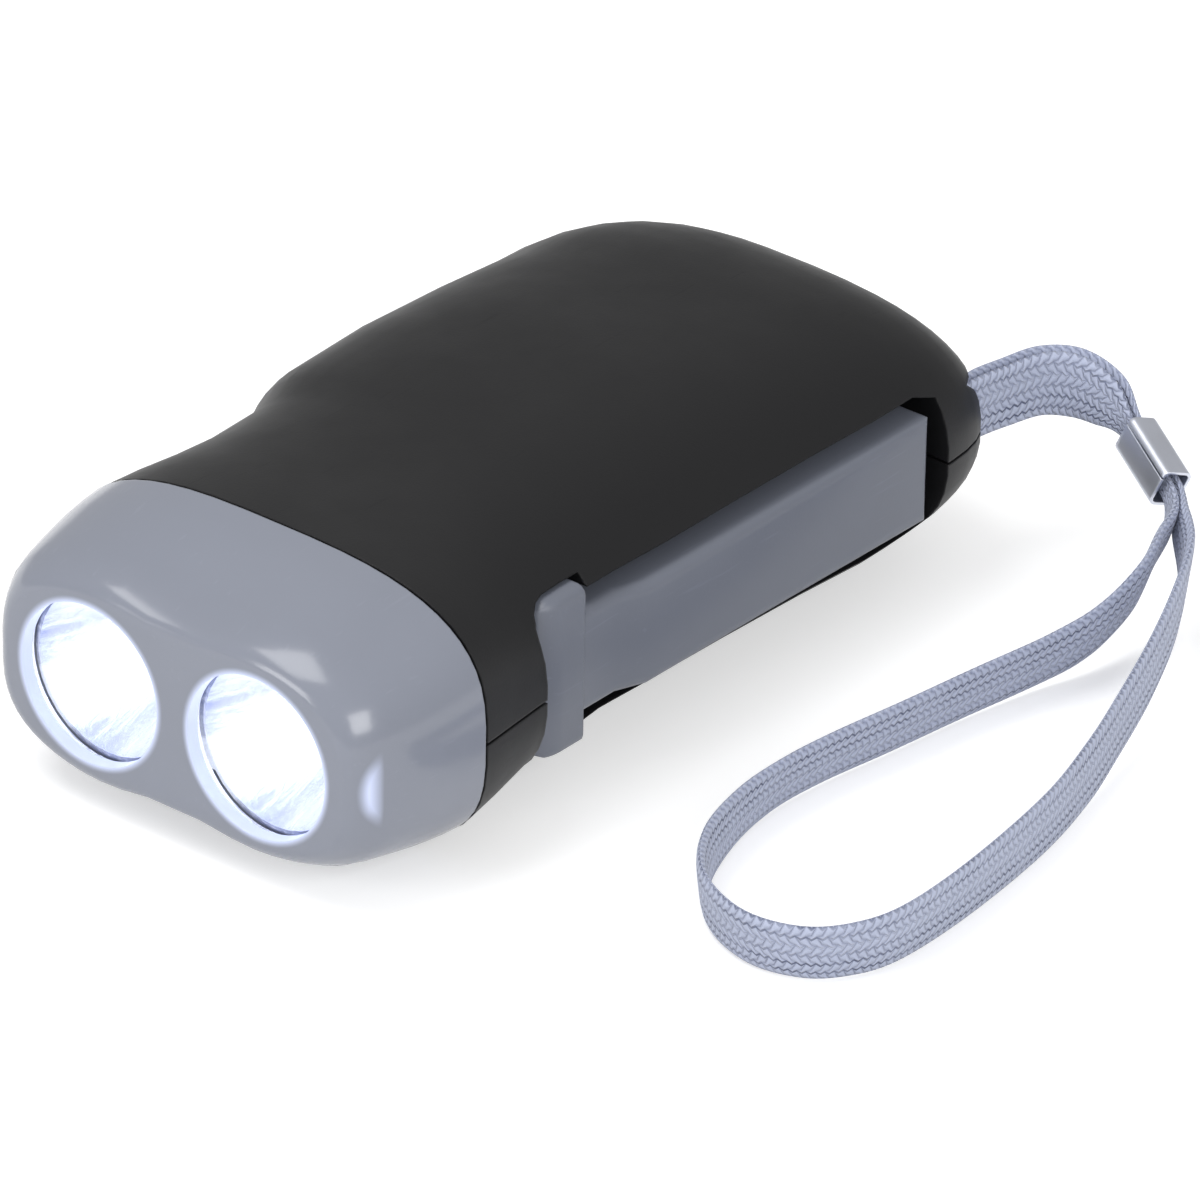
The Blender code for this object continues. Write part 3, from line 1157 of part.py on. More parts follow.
def make_strap(cloth, tin):
    """Braided wrist strap, doubled through the tail slot and pinched by a folded ferrule."""
    half = (STRAP_THICKNESS + STRAP_SPLIT) / 2
    hug = STRAP_BAR_RADIUS + GAP + STRAP_THICKNESS / 2
    start, end = wrap(1, hug, 0.0), wrap(-1, hug, math.radians(38))[::-1]
    spare = [1.0] * len(start)
    route = start + strand(half) + list(LOOP_ROUTE) + strand(-half)[::-1] + end
    shares = spare + list(TAIL_WIDTH_SHARES + LOOP_WIDTH_SHARES + TAIL_WIDTH_SHARES[::-1]) + spare
    none = [0.0] * len(start)
    leans = none + list(TAIL_LEAN_SHARES + LOOP_LEAN_SHARES + TAIL_LEAN_SHARES[::-1]) + none
    free = [1.0] * len(LOOP_ROUTE)
    pinches = spare + list(TAIL_PINCH_SHARES) + free + list(TAIL_PINCH_SHARES[::-1]) + spare
    centres = smooth_route(route, STRAP_STEPS)
    extras = smooth_route(list(zip(shares, leans, pinches)), STRAP_STEPS)
    widths = [point.x * STRAP_WIDTH for point in extras]
    leans = [point.y * math.pi / 2 for point in extras]
    back = len(start) + len(TAIL_ROUTE) + LOOP_TURN
    leans = [lean if index < back * STRAP_STEPS else -lean for index, lean in enumerate(leans)]
    thicknesses = [point.z * STRAP_THICKNESS for point in extras]
    solid("wrist_strap", ribbon(centres, widths, leans, thicknesses), cloth)

    middle = Vector(TAIL_ROUTE[-2])
    along = (Vector(TAIL_ROUTE[-1]) - Vector(TAIL_ROUTE[-3])).normalized()
    width = STRAP_WIDTH * TAIL_WIDTH_SHARES[-2] + FERRULE_ROOM
    depth = (STRAP_THICKNESS * 2 + STRAP_SPLIT) * TAIL_PINCH_SHARES[-2] + FERRULE_ROOM
    lean = [TAIL_LEAN_SHARES[-2] * math.pi / 2] * 3
    ends = [middle + along * step * FERRULE_LENGTH / 2 for step in (-1, 0, 1)]
    wide, deep = width + FERRULE_WALL * 2, depth + FERRULE_WALL * 2
    ferrule = solid("strap_ferrule", ribbon(ends, [wide] * 3, lean, [deep] * 3), tin)
    far_ends = [middle + along * step * FERRULE_LENGTH for step in (-1, 0, 1)]
    cut(ferrule, cutter("ferrule_bore", ribbon(far_ends, [width] * 3, lean, [depth] * 3)))
    bm = bmesh.new()
    add_post(bm, STRAP_BAR_X, STRAP_BAR_Y, *bar_span(), STRAP_BAR_RADIUS, ROUND_STEPS)
    solid("strap_bar", bm, tin, (STRAP_BAR_X, STRAP_BAR_Y, 0))


clear_scene()
BLACK = material("black_shell", (0.012, 0.012, 0.013), 0.42)
GREY = material("grey_plastic", (0.262, 0.282, 0.332), 0.32)
LEVER_GREY = material("lever_grey", (0.155, 0.170, 0.205), 0.48)
CLEAR = material("clear_lens", (0.86, 0.90, 1.0), 0.05)
MIRROR = material("reflector_chrome", (0.86, 0.88, 0.92), 0.12, 1.0)
BULB = material("led_epoxy", (0.90, 0.94, 1.0), 0.15)
GREEN = material("board_green", (0.02, 0.13, 0.05), 0.4)
WHITE = material("gear_white", (0.80, 0.80, 0.76), 0.4)
AMBER = material("gear_amber", (0.70, 0.38, 0.10), 0.4)
STEEL = material("pin_steel", (0.56, 0.57, 0.58), 0.25, 1.0)
MAGNET = material("magnet", (0.07, 0.07, 0.075), 0.5)
IRON = material("core_iron", (0.25, 0.25, 0.26), 0.45, 1.0)
COPPER = material("coil_copper", (0.60, 0.24, 0.10), 0.35, 1.0)
BLUE = material("capacitor_blue", (0.03, 0.06, 0.22), 0.4)
RED = material("wire_red", (0.45, 0.02, 0.02), 0.4)
CLOTH = material("strap_grey", (0.34, 0.38, 0.48), 0.9)
TIN = material("tin_plate", (0.60, 0.63, 0.70), 0.3, 1.0)

make_shells(BLACK)
make_head(GREY)
make_lamps(CLEAR, MIRROR, BULB, GREEN)
make_lever(LEVER_GREY)
make_spring(STEEL)
make_train(WHITE, AMBER, STEEL)
make_rotor(WHITE, MAGNET, STEEL)
make_stator(IRON, WHITE, COPPER)
make_electronics(GREEN, BLUE, BLACK, RED)
make_screws(STEEL)
make_strap(CLOTH, TIN)
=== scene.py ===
"""Hand-squeeze dynamo torch, dressed for its photograph."""
import math

import bmesh
import bpy
from mathutils import Matrix, Vector


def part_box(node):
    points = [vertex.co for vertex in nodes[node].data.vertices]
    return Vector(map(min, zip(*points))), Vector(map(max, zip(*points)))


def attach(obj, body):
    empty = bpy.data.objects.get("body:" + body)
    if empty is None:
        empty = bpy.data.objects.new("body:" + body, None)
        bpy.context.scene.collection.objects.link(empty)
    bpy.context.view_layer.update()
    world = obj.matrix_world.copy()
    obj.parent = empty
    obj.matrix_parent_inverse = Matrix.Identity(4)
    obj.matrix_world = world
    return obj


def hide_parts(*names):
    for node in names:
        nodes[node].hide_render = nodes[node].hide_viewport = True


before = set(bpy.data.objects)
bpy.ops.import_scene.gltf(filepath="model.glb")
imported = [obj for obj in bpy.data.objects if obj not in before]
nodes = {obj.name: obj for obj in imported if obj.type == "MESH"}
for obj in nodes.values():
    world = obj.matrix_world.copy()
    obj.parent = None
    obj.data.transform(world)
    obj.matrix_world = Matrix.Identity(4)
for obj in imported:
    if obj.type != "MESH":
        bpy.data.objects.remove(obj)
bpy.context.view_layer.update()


# Camera: a long lens about 1.2 m away, from the lens end and the lever side, well above the
# table, as the photograph was taken.
lens = bpy.data.cameras.new("camera")
lens.lens = 360.0
lens.sensor_width = 36.0
lens.clip_start = 0.05
lens.clip_end = 20.0
camera = bpy.data.objects.new("camera", lens)
bpy.context.scene.collection.objects.link(camera)
camera.location = (0.64443, -0.78353, 0.58255)
camera.rotation_euler = [math.radians(angle) for angle in (60.3673, -0.9199, 39.3849)]
bpy.context.scene.camera = camera


# Studio: a white table top, a large soft lamp overhead and weaker ones round the torch. The
# table glows a little to camera, mirrors and glass, so that it is white and keeps the shadow.
TABLE_REACH = 4.0
TABLE_GLOW = 0.42
STUDIO_LEVEL = 0.55


def add(tree, kind, inputs=None, **settings):
    """A shader node with its settings made and its sockets filled or wired."""
    item = tree.nodes.new("ShaderNode" + kind)
    for name, value in settings.items():
        setattr(item, name, value)
    for name, value in (inputs or {}).items():
        if isinstance(value, bpy.types.NodeSocket):
            tree.links.new(value, item.inputs[name])
        else:
            item.inputs[name].default_value = value
    return item


def reckon(tree, operation, *terms):
    """One sum, made by a Math node."""
    item = add(tree, "Math", operation=operation)
    for socket, term in zip(item.inputs, terms):
        if isinstance(term, bpy.types.NodeSocket):
            tree.links.new(term, socket)
        else:
            socket.default_value = term
    return item.outputs[0]


def finish(name, fixed, wired=None):
    """A material: the fixed and the wired sockets of its Principled shader."""
    made = bpy.data.materials.new(name)
    made.use_nodes = True
    shader = made.node_tree.nodes["Principled BSDF"]
    for socket, value in fixed.items():
        shader.inputs[socket].default_value = value
    for socket, value in (wired or (lambda tree: {}))(made.node_tree).items():
        made.node_tree.links.new(value, shader.inputs[socket])
    return made


def table_top(tree):
    path = add(tree, "LightPath").outputs
    seen = reckon(tree, "MAXIMUM", path["Is Camera Ray"], path["Is Glossy Ray"])
    seen = reckon(tree, "MAXIMUM", seen, path["Is Transmission Ray"])
    return {"Emission Strength": reckon(tree, "MULTIPLY", seen, TABLE_GLOW)}


def lamp(name, place, size, watts):
    light = bpy.data.lights.new(name, "AREA")
    light.shape = "RECTANGLE"
    light.size, light.size_y = size
    light.energy = watts
    item = bpy.data.objects.new(name, light)
    bpy.context.scene.collection.objects.link(item)
    item.location = place
    item.rotation_euler = (-Vector(place)).to_track_quat("-Z", "Y").to_euler()


bpy.context.scene.view_settings.view_transform = "Standard"
bm = bmesh.new()
bmesh.ops.create_grid(bm, x_segments=1, y_segments=1, size=TABLE_REACH)
table_mesh = bpy.data.meshes.new("table")
bm.to_mesh(table_mesh)
bm.free()
table = bpy.data.objects.new("table", table_mesh)
table_mesh.materials.append(finish("table_top", {
    "Base Color": (0.8, 0.8, 0.8, 1), "Roughness": 0.9, "Specular IOR Level": 0.0,
    "Emission Color": (1, 1, 1, 1)}, table_top))
bpy.context.scene.collection.objects.link(table)

world = bpy.data.worlds.new("studio")
bpy.context.scene.world = world
world.use_nodes = True
world.node_tree.nodes["Background"].inputs["Color"].default_value = (1, 1, 1, 1)
world.node_tree.nodes["Background"].inputs["Strength"].default_value = STUDIO_LEVEL
lamp("overhead", (-0.25, -0.25, 0.95), (0.5, 0.5), 3.8)
lamp("front_right", (0.9, -0.35, 0.55), (0.5, 0.5), 5.2)
lamp("front_left", (-0.35, -0.95, 0.45), (0.4, 0.4), 3.2)


# Wrist strap: a flat tubular braid of bluish grey polyester, 7 mm wide and 1 mm thick. It hugs
# the steel bar in the tail slot, runs doubled to the ferrule, and lies on the table in one loop.
STRAP_WIDTH = 0.007
STRAP_THICKNESS = 0.001
STRAP_SPLIT = 0.0004
STRAP_STEPS = 8
STRAP_BAR = Vector((0.0188, 0.0916, 0.0015))
STRAP_HUG = 0.0018
HUG_START = -0.94 * math.pi / 2
HUG_LEAVE = math.radians(38)
STRAP_FACE_STEPS = 10
FACE_TO_MIDDLE = Vector((0.00165, -0.04965, 0.0142))
LOOP_TURN = 20
TAIL_ROUTE = (
    (0.0203, 0.0950, 0.0015),
    (0.0206, 0.0975, 0.0015),
    (0.0212, 0.1003, 0.0015),
    (0.0228, 0.1043, 0.0018),
    (0.0256, 0.1067, 0.0015),
    (0.0294, 0.1071, 0.0007),
    (0.0328, 0.1061, -0.0006),
    (0.0371, 0.1040, -0.0020),
    (0.0412, 0.1019, -0.0032),
)
LOOP_ROUTE = (
    (0.0431, 0.0990, -0.0045),
    (0.0443, 0.0950, -0.0055),
    (0.0457, 0.0906, -0.0068),
    (0.0460, 0.0862, -0.0082),
    (0.0455, 0.0820, -0.0094),
    (0.0441, 0.0768, -0.0103),
    (0.0424, 0.0681, -0.0106),
    (0.0411, 0.0586, -0.0106),
    (0.0397, 0.0494, -0.0106),
    (0.0393, 0.0423, -0.0106),
    (0.0402, 0.0349, -0.0106),
    (0.0429, 0.0272, -0.0106),
    (0.0477, 0.0215, -0.0106),
    (0.0542, 0.0188, -0.0106),
    (0.0598, 0.0198, -0.0106),
    (0.0632, 0.0232, -0.0106),
    (0.0650, 0.0288, -0.0106),
    (0.0648, 0.0394, -0.0106),
    (0.0630, 0.0532, -0.0106),
    (0.0604, 0.0634, -0.0105),
    (0.0580, 0.0710, -0.0099),
    (0.0549, 0.0804, -0.0086),
    (0.0515, 0.0888, -0.0070),
    (0.0479, 0.0953, -0.0055),
    (0.0440, 0.0995, -0.0044),
)
TAIL_WIDTH_SHARES = (1.0, 1.0, 1.0, 1.0, 0.98, 0.80, 0.37, 0.33, 0.33)
LOOP_WIDTH_SHARES = (0.60, 0.86) + (1.0,) * 21 + (0.86, 0.60)
TAIL_PINCH_SHARES = (1.0, 1.0, 1.0, 1.0, 1.0, 0.90, 0.62, 0.60, 0.60)
TAIL_LEAN_SHARES = (0.0, 0.0, 0.0, -0.02, -0.05, -0.09, -0.16, -0.20, -0.20)
LOOP_LEAN_SHARES = (
    -0.18, -0.17, -0.17, -0.18, -0.19, -0.20, -0.20, -0.20, -0.20, -0.17, -0.08, 0.02, 0.10, 0.16,
    0.18, 0.16, 0.12, 0.08, 0.04, 0.0, 0.0, 0.0, -0.03, -0.10, -0.16,
)
BRAID_COLOUR = (0.45, 0.49, 0.63, 1)
# Painted shade: the braid turns darker in the gaps between its stitches.
BRAID_GAP_SHADE_COLOUR = (0.28, 0.31, 0.43, 1)
ZIGZAG_COLOUR = (0.075, 0.09, 0.16, 1)
BRAID_COLUMNS = 6
STITCHES_PER_WIDTH = 7.8
ZIGZAG_REACH = 0.62
ZIGZAG_DARKNESS = (
    (0.0, 0.25), (0.15, 1.0), (0.34, 0.95), (0.50, 0.50), (0.66, 0.12), (0.84, 0.85), (0.94, 0.15),
)
BRAID_RELIEF = 0.00012


def smooth_route(points, steps):
    """Points along a smooth curve through a route's own points."""
    route = [Vector(point) for point in points]
    ends = [2 * route[0] - route[1]] + route + [2 * route[-1] - route[-2]]
    smooth = []
    for a, b, c, d in zip(ends, ends[1:], ends[2:], ends[3:]):
        for step in range(steps):
            t = step / steps
            smooth.append(0.5 * (2 * b + (c - a) * t + (2 * a - 5 * b + 4 * c - d) * t**2
                                 + (3 * b - a - 3 * c + d) * t**3))
    smooth.append(route[-1])
    return smooth


def strand(offset):
    """The doubled stretch's points, moved sideways to one of its two strands."""
    moved = []
    last = len(TAIL_ROUTE) - 1
    for index, (x, y, z) in enumerate(TAIL_ROUTE):
        ahead = Vector(TAIL_ROUTE[min(index + 1, last)][:2])
        along = (ahead - Vector(TAIL_ROUTE[max(index - 1, 0)][:2])).normalized()
        aside = offset * TAIL_PINCH_SHARES[index]
        moved.append((x + along.y * aside, y - along.x * aside, z))
    return moved


def hug_bar(side, leave):
    """Points that lead a strand from behind the strap bar round one of its sides."""
    angles = [HUG_START + (leave - HUG_START) * step / 3 for step in range(4)]
    return [(STRAP_BAR.x + side * STRAP_HUG * math.cos(angle),
             STRAP_BAR.y + STRAP_HUG * math.sin(angle), STRAP_BAR.z) for angle in angles]


def across_and_up(centres, index, lean):
    """A strap's two directions at one point of its centre line."""
    last = len(centres) - 1
    along = (centres[min(index + 1, last)] - centres[max(index - 1, 0)]).normalized()
    across = Matrix.Rotation(lean, 3, along) @ along.cross(Vector((0, 0, 1))).normalized()
    return across, across.cross(along)


def braid(tree):
    """Slanted stitches in six columns a face, painted shade between them, dark zigzags where columns
    meet.
    """
    face = add(tree, "SeparateXYZ", {0: add(tree, "UVMap", uv_map="strap").outputs[0]}).outputs
    rows = reckon(tree, "MULTIPLY", face["Y"], STITCHES_PER_WIDTH)
    zigzag = reckon(tree, "SUBTRACT", reckon(tree, "PINGPONG", rows, 0.5), 0.25)
    column = reckon(tree, "MULTIPLY", face["X"], BRAID_COLUMNS)
    column = reckon(tree, "ADD", column, reckon(tree, "MULTIPLY", zigzag, ZIGZAG_REACH))
    beside = reckon(tree, "ABSOLUTE", reckon(tree, "SUBTRACT", reckon(tree, "FRACT", column), 0.5))
    seam = add(tree, "MapRange", {"Value": beside, "From Min": 0.33, "From Max": 0.47},
               interpolation_type="SMOOTHSTEP").outputs[0]
    slant = reckon(tree, "ADD", rows, reckon(tree, "PINGPONG", column, 1.0))
    stitch = reckon(tree, "SUBTRACT", reckon(tree, "MULTIPLY", reckon(tree, "FRACT", slant), 2), 1)
    stitch = reckon(tree, "POWER", reckon(tree, "ABSOLUTE", stitch), 2.5)
    stitch = reckon(tree, "SUBTRACT", 1.0, stitch)
    ramp = add(tree, "ValToRGB", {"Fac": reckon(tree, "FRACT", face["X"])})
    for place, dark in ZIGZAG_DARKNESS:
        stop = ramp.color_ramp.elements.new(place)
        stop.color = (dark, dark, dark, 1)
    worn = add(tree, "TexNoise", {"Vector": add(tree, "TexCoord").outputs["Object"],
                                  "Scale": 260.0, "Detail": 3.0}).outputs[0]
    patchy = add(tree, "MapRange", {"Value": worn, "From Min": 0.35, "From Max": 0.6,
                                    "To Min": 0.45, "To Max": 1.0}).outputs[0]
    dark = reckon(tree, "MULTIPLY", reckon(tree, "MULTIPLY", seam, ramp.outputs[0]), patchy)
    fibre = add(tree, "TexNoise", {"Vector": add(tree, "TexCoord").outputs["Object"],
                                   "Scale": 9000.0, "Detail": 2.0}).outputs[0]
    # Painted shade: the gap colour darkens the braid between the stitches.
    thread_and_gap_shade = add(tree, "Mix", data_type="RGBA")
    tree.links.new(reckon(tree, "MULTIPLY", stitch, reckon(tree, "ADD", 0.55, fibre)),
                   thread_and_gap_shade.inputs[0])
    thread_and_gap_shade.inputs[6].default_value = BRAID_GAP_SHADE_COLOUR
    thread_and_gap_shade.inputs[7].default_value = BRAID_COLOUR
    colour = add(tree, "Mix", data_type="RGBA")
    tree.links.new(dark, colour.inputs[0])
    tree.links.new(thread_and_gap_shade.outputs[2], colour.inputs[6])
    colour.inputs[7].default_value = ZIGZAG_COLOUR
    height = reckon(tree, "MULTIPLY", stitch, reckon(tree, "SUBTRACT", 1.0, seam))
    height = reckon(tree, "ADD", height, reckon(tree, "MULTIPLY", fibre, 0.25))
    bump = add(tree, "Bump", {"Strength": 1.0, "Distance": BRAID_RELIEF, "Height": height})
    rough = reckon(tree, "ADD", 0.72, reckon(tree, "MULTIPLY", fibre, 0.2))
    return {"Base Color": colour.outputs[2], "Roughness": rough, "Normal": bump.outputs[0]}


half = (STRAP_THICKNESS + STRAP_SPLIT) / 2
start, end = hug_bar(1, 0.0), hug_bar(-1, HUG_LEAVE)[::-1]
route = start + strand(half) + list(LOOP_ROUTE) + strand(-half)[::-1] + end
whole = (1.0,) * len(start)
shares = whole + TAIL_WIDTH_SHARES + LOOP_WIDTH_SHARES + TAIL_WIDTH_SHARES[::-1] + whole
leans = (0.0,) * len(start) + TAIL_LEAN_SHARES + LOOP_LEAN_SHARES + TAIL_LEAN_SHARES[::-1]
leans += (0.0,) * len(end)
pinches = whole + TAIL_PINCH_SHARES + (1.0,) * len(LOOP_ROUTE) + TAIL_PINCH_SHARES[::-1] + whole
centres = [point + FACE_TO_MIDDLE for point in smooth_route(route, STRAP_STEPS)]
extras = smooth_route(list(zip(shares, leans, pinches)), STRAP_STEPS)
turn = (len(start) + len(TAIL_ROUTE) + LOOP_TURN) * STRAP_STEPS
sweep = [math.pi * step / STRAP_FACE_STEPS - math.pi / 2 for step in range(STRAP_FACE_STEPS + 1)]
face = [(math.sqrt(1 - math.sin(angle) ** 4), math.sin(angle)) for angle in sweep]
section = face + [(-side, up) for side, up in face[-2:0:-1]]
round_strap = [(1 + up) / 2 for side, up in face] + [2 - (1 + up) / 2 for side, up in face[-2::-1]]
bm = bmesh.new()
map_layer = bm.loops.layers.uv.new("strap")
lengths = [0.0]
for before, after in zip(centres, centres[1:]):
    lengths.append(lengths[-1] + (after - before).length)
rings = []
for index, (centre, (share, lean, pinch)) in enumerate(zip(centres, extras)):
    lean = (lean if index < turn else -lean) * math.pi / 2
    across, up = across_and_up(centres, index, lean)
    rings.append([bm.verts.new(centre + across * side * pinch * STRAP_THICKNESS / 2
                               + up * high * share * STRAP_WIDTH / 2) for side, high in section])
for index, (near, far) in enumerate(zip(rings, rings[1:])):
    for step in range(len(near)):
        beside = (step + 1) % len(near)
        skin = bm.faces.new((near[step], near[beside], far[beside], far[step]))
        places = ((step, 0), (step + 1, 0), (step + 1, 1), (step, 1))
        for loop, (round_step, ahead) in zip(skin.loops, places):
            loop[map_layer].uv = (round_strap[round_step], lengths[index + ahead] / STRAP_WIDTH)
bm.faces.new(rings[0][::-1])
bm.faces.new(rings[-1])
bmesh.ops.recalc_face_normals(bm, faces=bm.faces[:])
strap_mesh = bpy.data.meshes.new("braided_strap")
bm.to_mesh(strap_mesh)
bm.free()
strap_mesh.shade_smooth()
strap = bpy.data.objects.new("braided_strap", strap_mesh)
bpy.context.scene.collection.objects.link(strap)
strap_mesh.materials.append(finish("strap_grey", {
    "Sheen Weight": 0.25, "Sheen Roughness": 0.5, "Specular IOR Level": 0.25}, braid))
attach(strap, "housing")
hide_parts("wrist_strap")


# Ferrule: a strip of plated steel folded round both strands and crimped shut, with the strip's
# ends meeting in a slit along its front. It bites the gathered braid and holds the loop.
FERRULE_LENGTH = 0.0082
FERRULE_WALL = 0.00035
FERRULE_ROOM = 0.0006
FERRULE_CORNER = 0.0005
FERRULE_SLIT = 0.00022
FERRULE_LIP = 0.00045
FERRULE_ROUNDING = 0.00008
METAL_STREAK_SCALE = 2600.0


def group(name, inputs, outputs):
    """An empty shader group with its sockets, its input's outputs and its output's inputs."""
    tree = bpy.data.node_groups.new(name, "ShaderNodeTree")
    for label, kind, value in inputs:
        socket = tree.interface.new_socket(label, in_out="INPUT", socket_type="NodeSocket" + kind)
        socket.default_value = value
    for label, kind in outputs:
        tree.interface.new_socket(label, in_out="OUTPUT", socket_type="NodeSocket" + kind)
    return tree, tree.nodes.new("NodeGroupInput").outputs, tree.nodes.new("NodeGroupOutput").inputs


def edge_mask(tree, radius):
    """White along outside corners and edges, with their rounded normal."""
    soft = add(tree, "Bevel", {"Radius": radius}, samples=4).outputs[0]
    sharp = add(tree, "NewGeometry").outputs["Normal"]
    turned = add(tree, "VectorMath", {0: soft, 1: sharp}, operation="DOT_PRODUCT").outputs["Value"]
    mask = add(tree, "MapRange", {"Value": turned, "From Min": 0.99, "From Max": 0.8}).outputs[0]
    return mask, soft


def tint(tree, share, first, second):
    """A colour between two others."""
    item = add(tree, "Mix", data_type="RGBA")
    for socket, value in ((0, share), (6, first), (7, second)):
        if isinstance(value, bpy.types.NodeSocket):
            tree.links.new(value, item.inputs[socket])
        else:
            item.inputs[socket].default_value = value
    return item.outputs[2]


metal, given, wanted = group(
    "worked_metal",
    [("Colour", "Color", (0.5, 0.5, 0.5, 1)), ("Roughness", "Float", 0.3),
     ("Stretch", "Vector", (1, 1, 0.03)), ("Edge", "Float", 0.0001)],
    [("Colour", "Color"), ("Roughness", "Float"), ("Normal", "Vector")])
place = add(metal, "TexCoord").outputs["Object"]
drawn = add(metal, "Mapping", {"Vector": place, "Scale": given["Stretch"]}).outputs[0]
streaks = add(metal, "TexNoise", {"Vector": drawn, "Scale": METAL_STREAK_SCALE, "Detail": 3.0}).outputs[0]
stain = add(metal, "TexNoise", {"Vector": place, "Scale": 240.0, "Detail": 4.0}).outputs[0]
edge, soft = edge_mask(metal, given["Edge"])
dull = tint(metal, reckon(metal, "MULTIPLY", stain, 0.3), given["Colour"], (0.2, 0.19, 0.18, 1))
metal.links.new(tint(metal, reckon(metal, "MULTIPLY", edge, 0.5), dull, (0.9, 0.9, 0.9, 1)),
                wanted["Colour"])
rough = reckon(metal, "ADD", given["Roughness"], reckon(metal, "MULTIPLY", streaks, 0.16))
metal.links.new(reckon(metal, "ADD", rough, reckon(metal, "MULTIPLY", stain, 0.1)),
                wanted["Roughness"])
metal.links.new(add(metal, "Bump", {"Strength": 0.6, "Distance": 0.00001, "Height": streaks,
                                    "Normal": soft}).outputs[0], wanted["Normal"])


def metal_finish(name, colour, roughness, stretch, edge=0.0001, metallic=1.0):
    def wired(tree):
        worked = add(tree, "Group", node_tree=metal)
        worked.inputs["Colour"].default_value = (*colour, 1)
        worked.inputs["Roughness"].default_value = roughness
        worked.inputs["Stretch"].default_value = stretch
        worked.inputs["Edge"].default_value = edge
        out = worked.outputs
        return {"Base Color": out["Colour"], "Roughness": out["Roughness"], "Normal": out["Normal"]}
    return finish(name, {"Metallic": metallic}, wired)


tail = [Vector(point) + FACE_TO_MIDDLE for point in TAIL_ROUTE[-3:]]
along = (tail[2] - tail[0]).normalized()
across = Matrix.Rotation(TAIL_LEAN_SHARES[-2] * math.pi / 2, 3, along) @ along.cross(
    Vector((0, 0, 1))).normalized()
up = across.cross(along)
wide = STRAP_WIDTH * TAIL_WIDTH_SHARES[-2] + FERRULE_ROOM + FERRULE_WALL * 2
deep = (STRAP_THICKNESS * 2 + STRAP_SPLIT) * TAIL_PINCH_SHARES[-2]
deep += FERRULE_ROOM + FERRULE_WALL * 2
bm = bmesh.new()
corners = [bm.verts.new((side * deep / 2, high * wide / 2, -FERRULE_LENGTH / 2))
           for side, high in ((1, 1), (-1, 1), (-1, -1), (1, -1))]
lip = bm.verts.new((deep / 2, wide / 2 - FERRULE_LIP, -FERRULE_LENGTH / 2))
meeting = bm.verts.new((deep / 2, wide / 2 - FERRULE_LIP - FERRULE_SLIT, -FERRULE_LENGTH / 2))
folded = [lip] + corners + [meeting]
for one, other in zip(folded, folded[1:]):
    bm.edges.new((one, other))
bmesh.ops.bevel(bm, geom=corners, affect="VERTICES", offset=FERRULE_CORNER, segments=4,
                profile=0.5, material=-1)
for reach in (0.06, 0.88, 0.06):
    lead = [edge for edge in bm.edges
            if all(abs(vert.co.z - max(v.co.z for v in bm.verts)) < 1e-7 for vert in edge.verts)]
    moved = bmesh.ops.extrude_edge_only(bm, edges=lead)["geom"]
    bmesh.ops.translate(bm, verts=[item for item in moved if isinstance(item, bmesh.types.BMVert)],
                        vec=(0, 0, FERRULE_LENGTH * reach))
bmesh.ops.recalc_face_normals(bm, faces=bm.faces[:])
outward = sum(skin.normal.dot(skin.calc_center_median() * Vector((1, 1, 0))) for skin in bm.faces)
if outward < 0:
    bmesh.ops.reverse_faces(bm, faces=bm.faces[:])
turned = Matrix((across, up, along)).transposed().to_4x4()
bm.transform(Matrix.Translation(tail[1]) @ turned)
ferrule_mesh = bpy.data.meshes.new("crimped_ferrule")
bm.to_mesh(ferrule_mesh)
bm.free()
ferrule_mesh.shade_smooth()
ferrule = bpy.data.objects.new("crimped_ferrule", ferrule_mesh)
bpy.context.scene.collection.objects.link(ferrule)
wall = ferrule.modifiers.new("wall", "SOLIDIFY")
wall.thickness = FERRULE_WALL
wall.offset = -1
rounding = ferrule.modifiers.new("rounding", "BEVEL")
rounding.width = FERRULE_ROUNDING
rounding.segments = 2
rounding.limit_method = "ANGLE"
TIN = metal_finish("tin_plate", (0.72, 0.75, 0.84), 0.26, (0.05, 0.05, 0.05), FERRULE_ROUNDING)
ferrule_mesh.materials.append(TIN)
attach(ferrule, "housing")
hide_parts("strap_ferrule")


# Shells: two black injection moulded halves with a fine spark-eroded texture, joined along the
# middle by four screws from below. Handling has polished the texture a little in places.
SHELL_COLOUR = (0.0085, 0.0085, 0.0095)
WELD_DISTANCE = 0.00001
CORNER_ANGLE = math.radians(32)

skin, given, wanted = group(
    "moulded_skin",
    [("Colour", "Color", (0.5, 0.5, 0.5, 1)), ("Roughness", "Float", 0.4),
     ("Grain", "Float", 3000.0), ("Depth", "Float", 0.00002), ("Edge", "Float", 0.0002),
     ("Wear", "Float", 0.2), ("Scuff", "Float", 0.1)],
    [("Colour", "Color"), ("Roughness", "Float"), ("Normal", "Vector")])
place = add(skin, "TexCoord").outputs["Object"]
grain = add(skin, "TexNoise", {"Vector": place, "Scale": given["Grain"], "Detail": 3.0,
                               "Roughness": 0.6}).outputs[0]
flow = add(skin, "TexNoise", {"Vector": place, "Scale": 48.0, "Detail": 4.0,
                              "Distortion": 0.6}).outputs[0]
handled = add(skin, "TexNoise", {"Vector": place, "Scale": 160.0, "Detail": 5.0}).outputs[0]
rubbed = add(skin, "Mapping", {"Vector": place, "Scale": (1, 0.06, 1),
                               "Rotation": (0, 0, math.radians(24))}).outputs[0]
scratches = add(skin, "TexNoise", {"Vector": rubbed, "Scale": 1800.0, "Detail": 2.0}).outputs[0]
scratches = add(skin, "MapRange", {"Value": scratches, "From Min": 0.66, "From Max": 0.74}).outputs[0]
scratches = reckon(skin, "MULTIPLY", scratches, given["Scuff"])
edge, soft = edge_mask(skin, given["Edge"])
worn = reckon(skin, "MULTIPLY", reckon(skin, "MULTIPLY", edge, handled), given["Wear"])
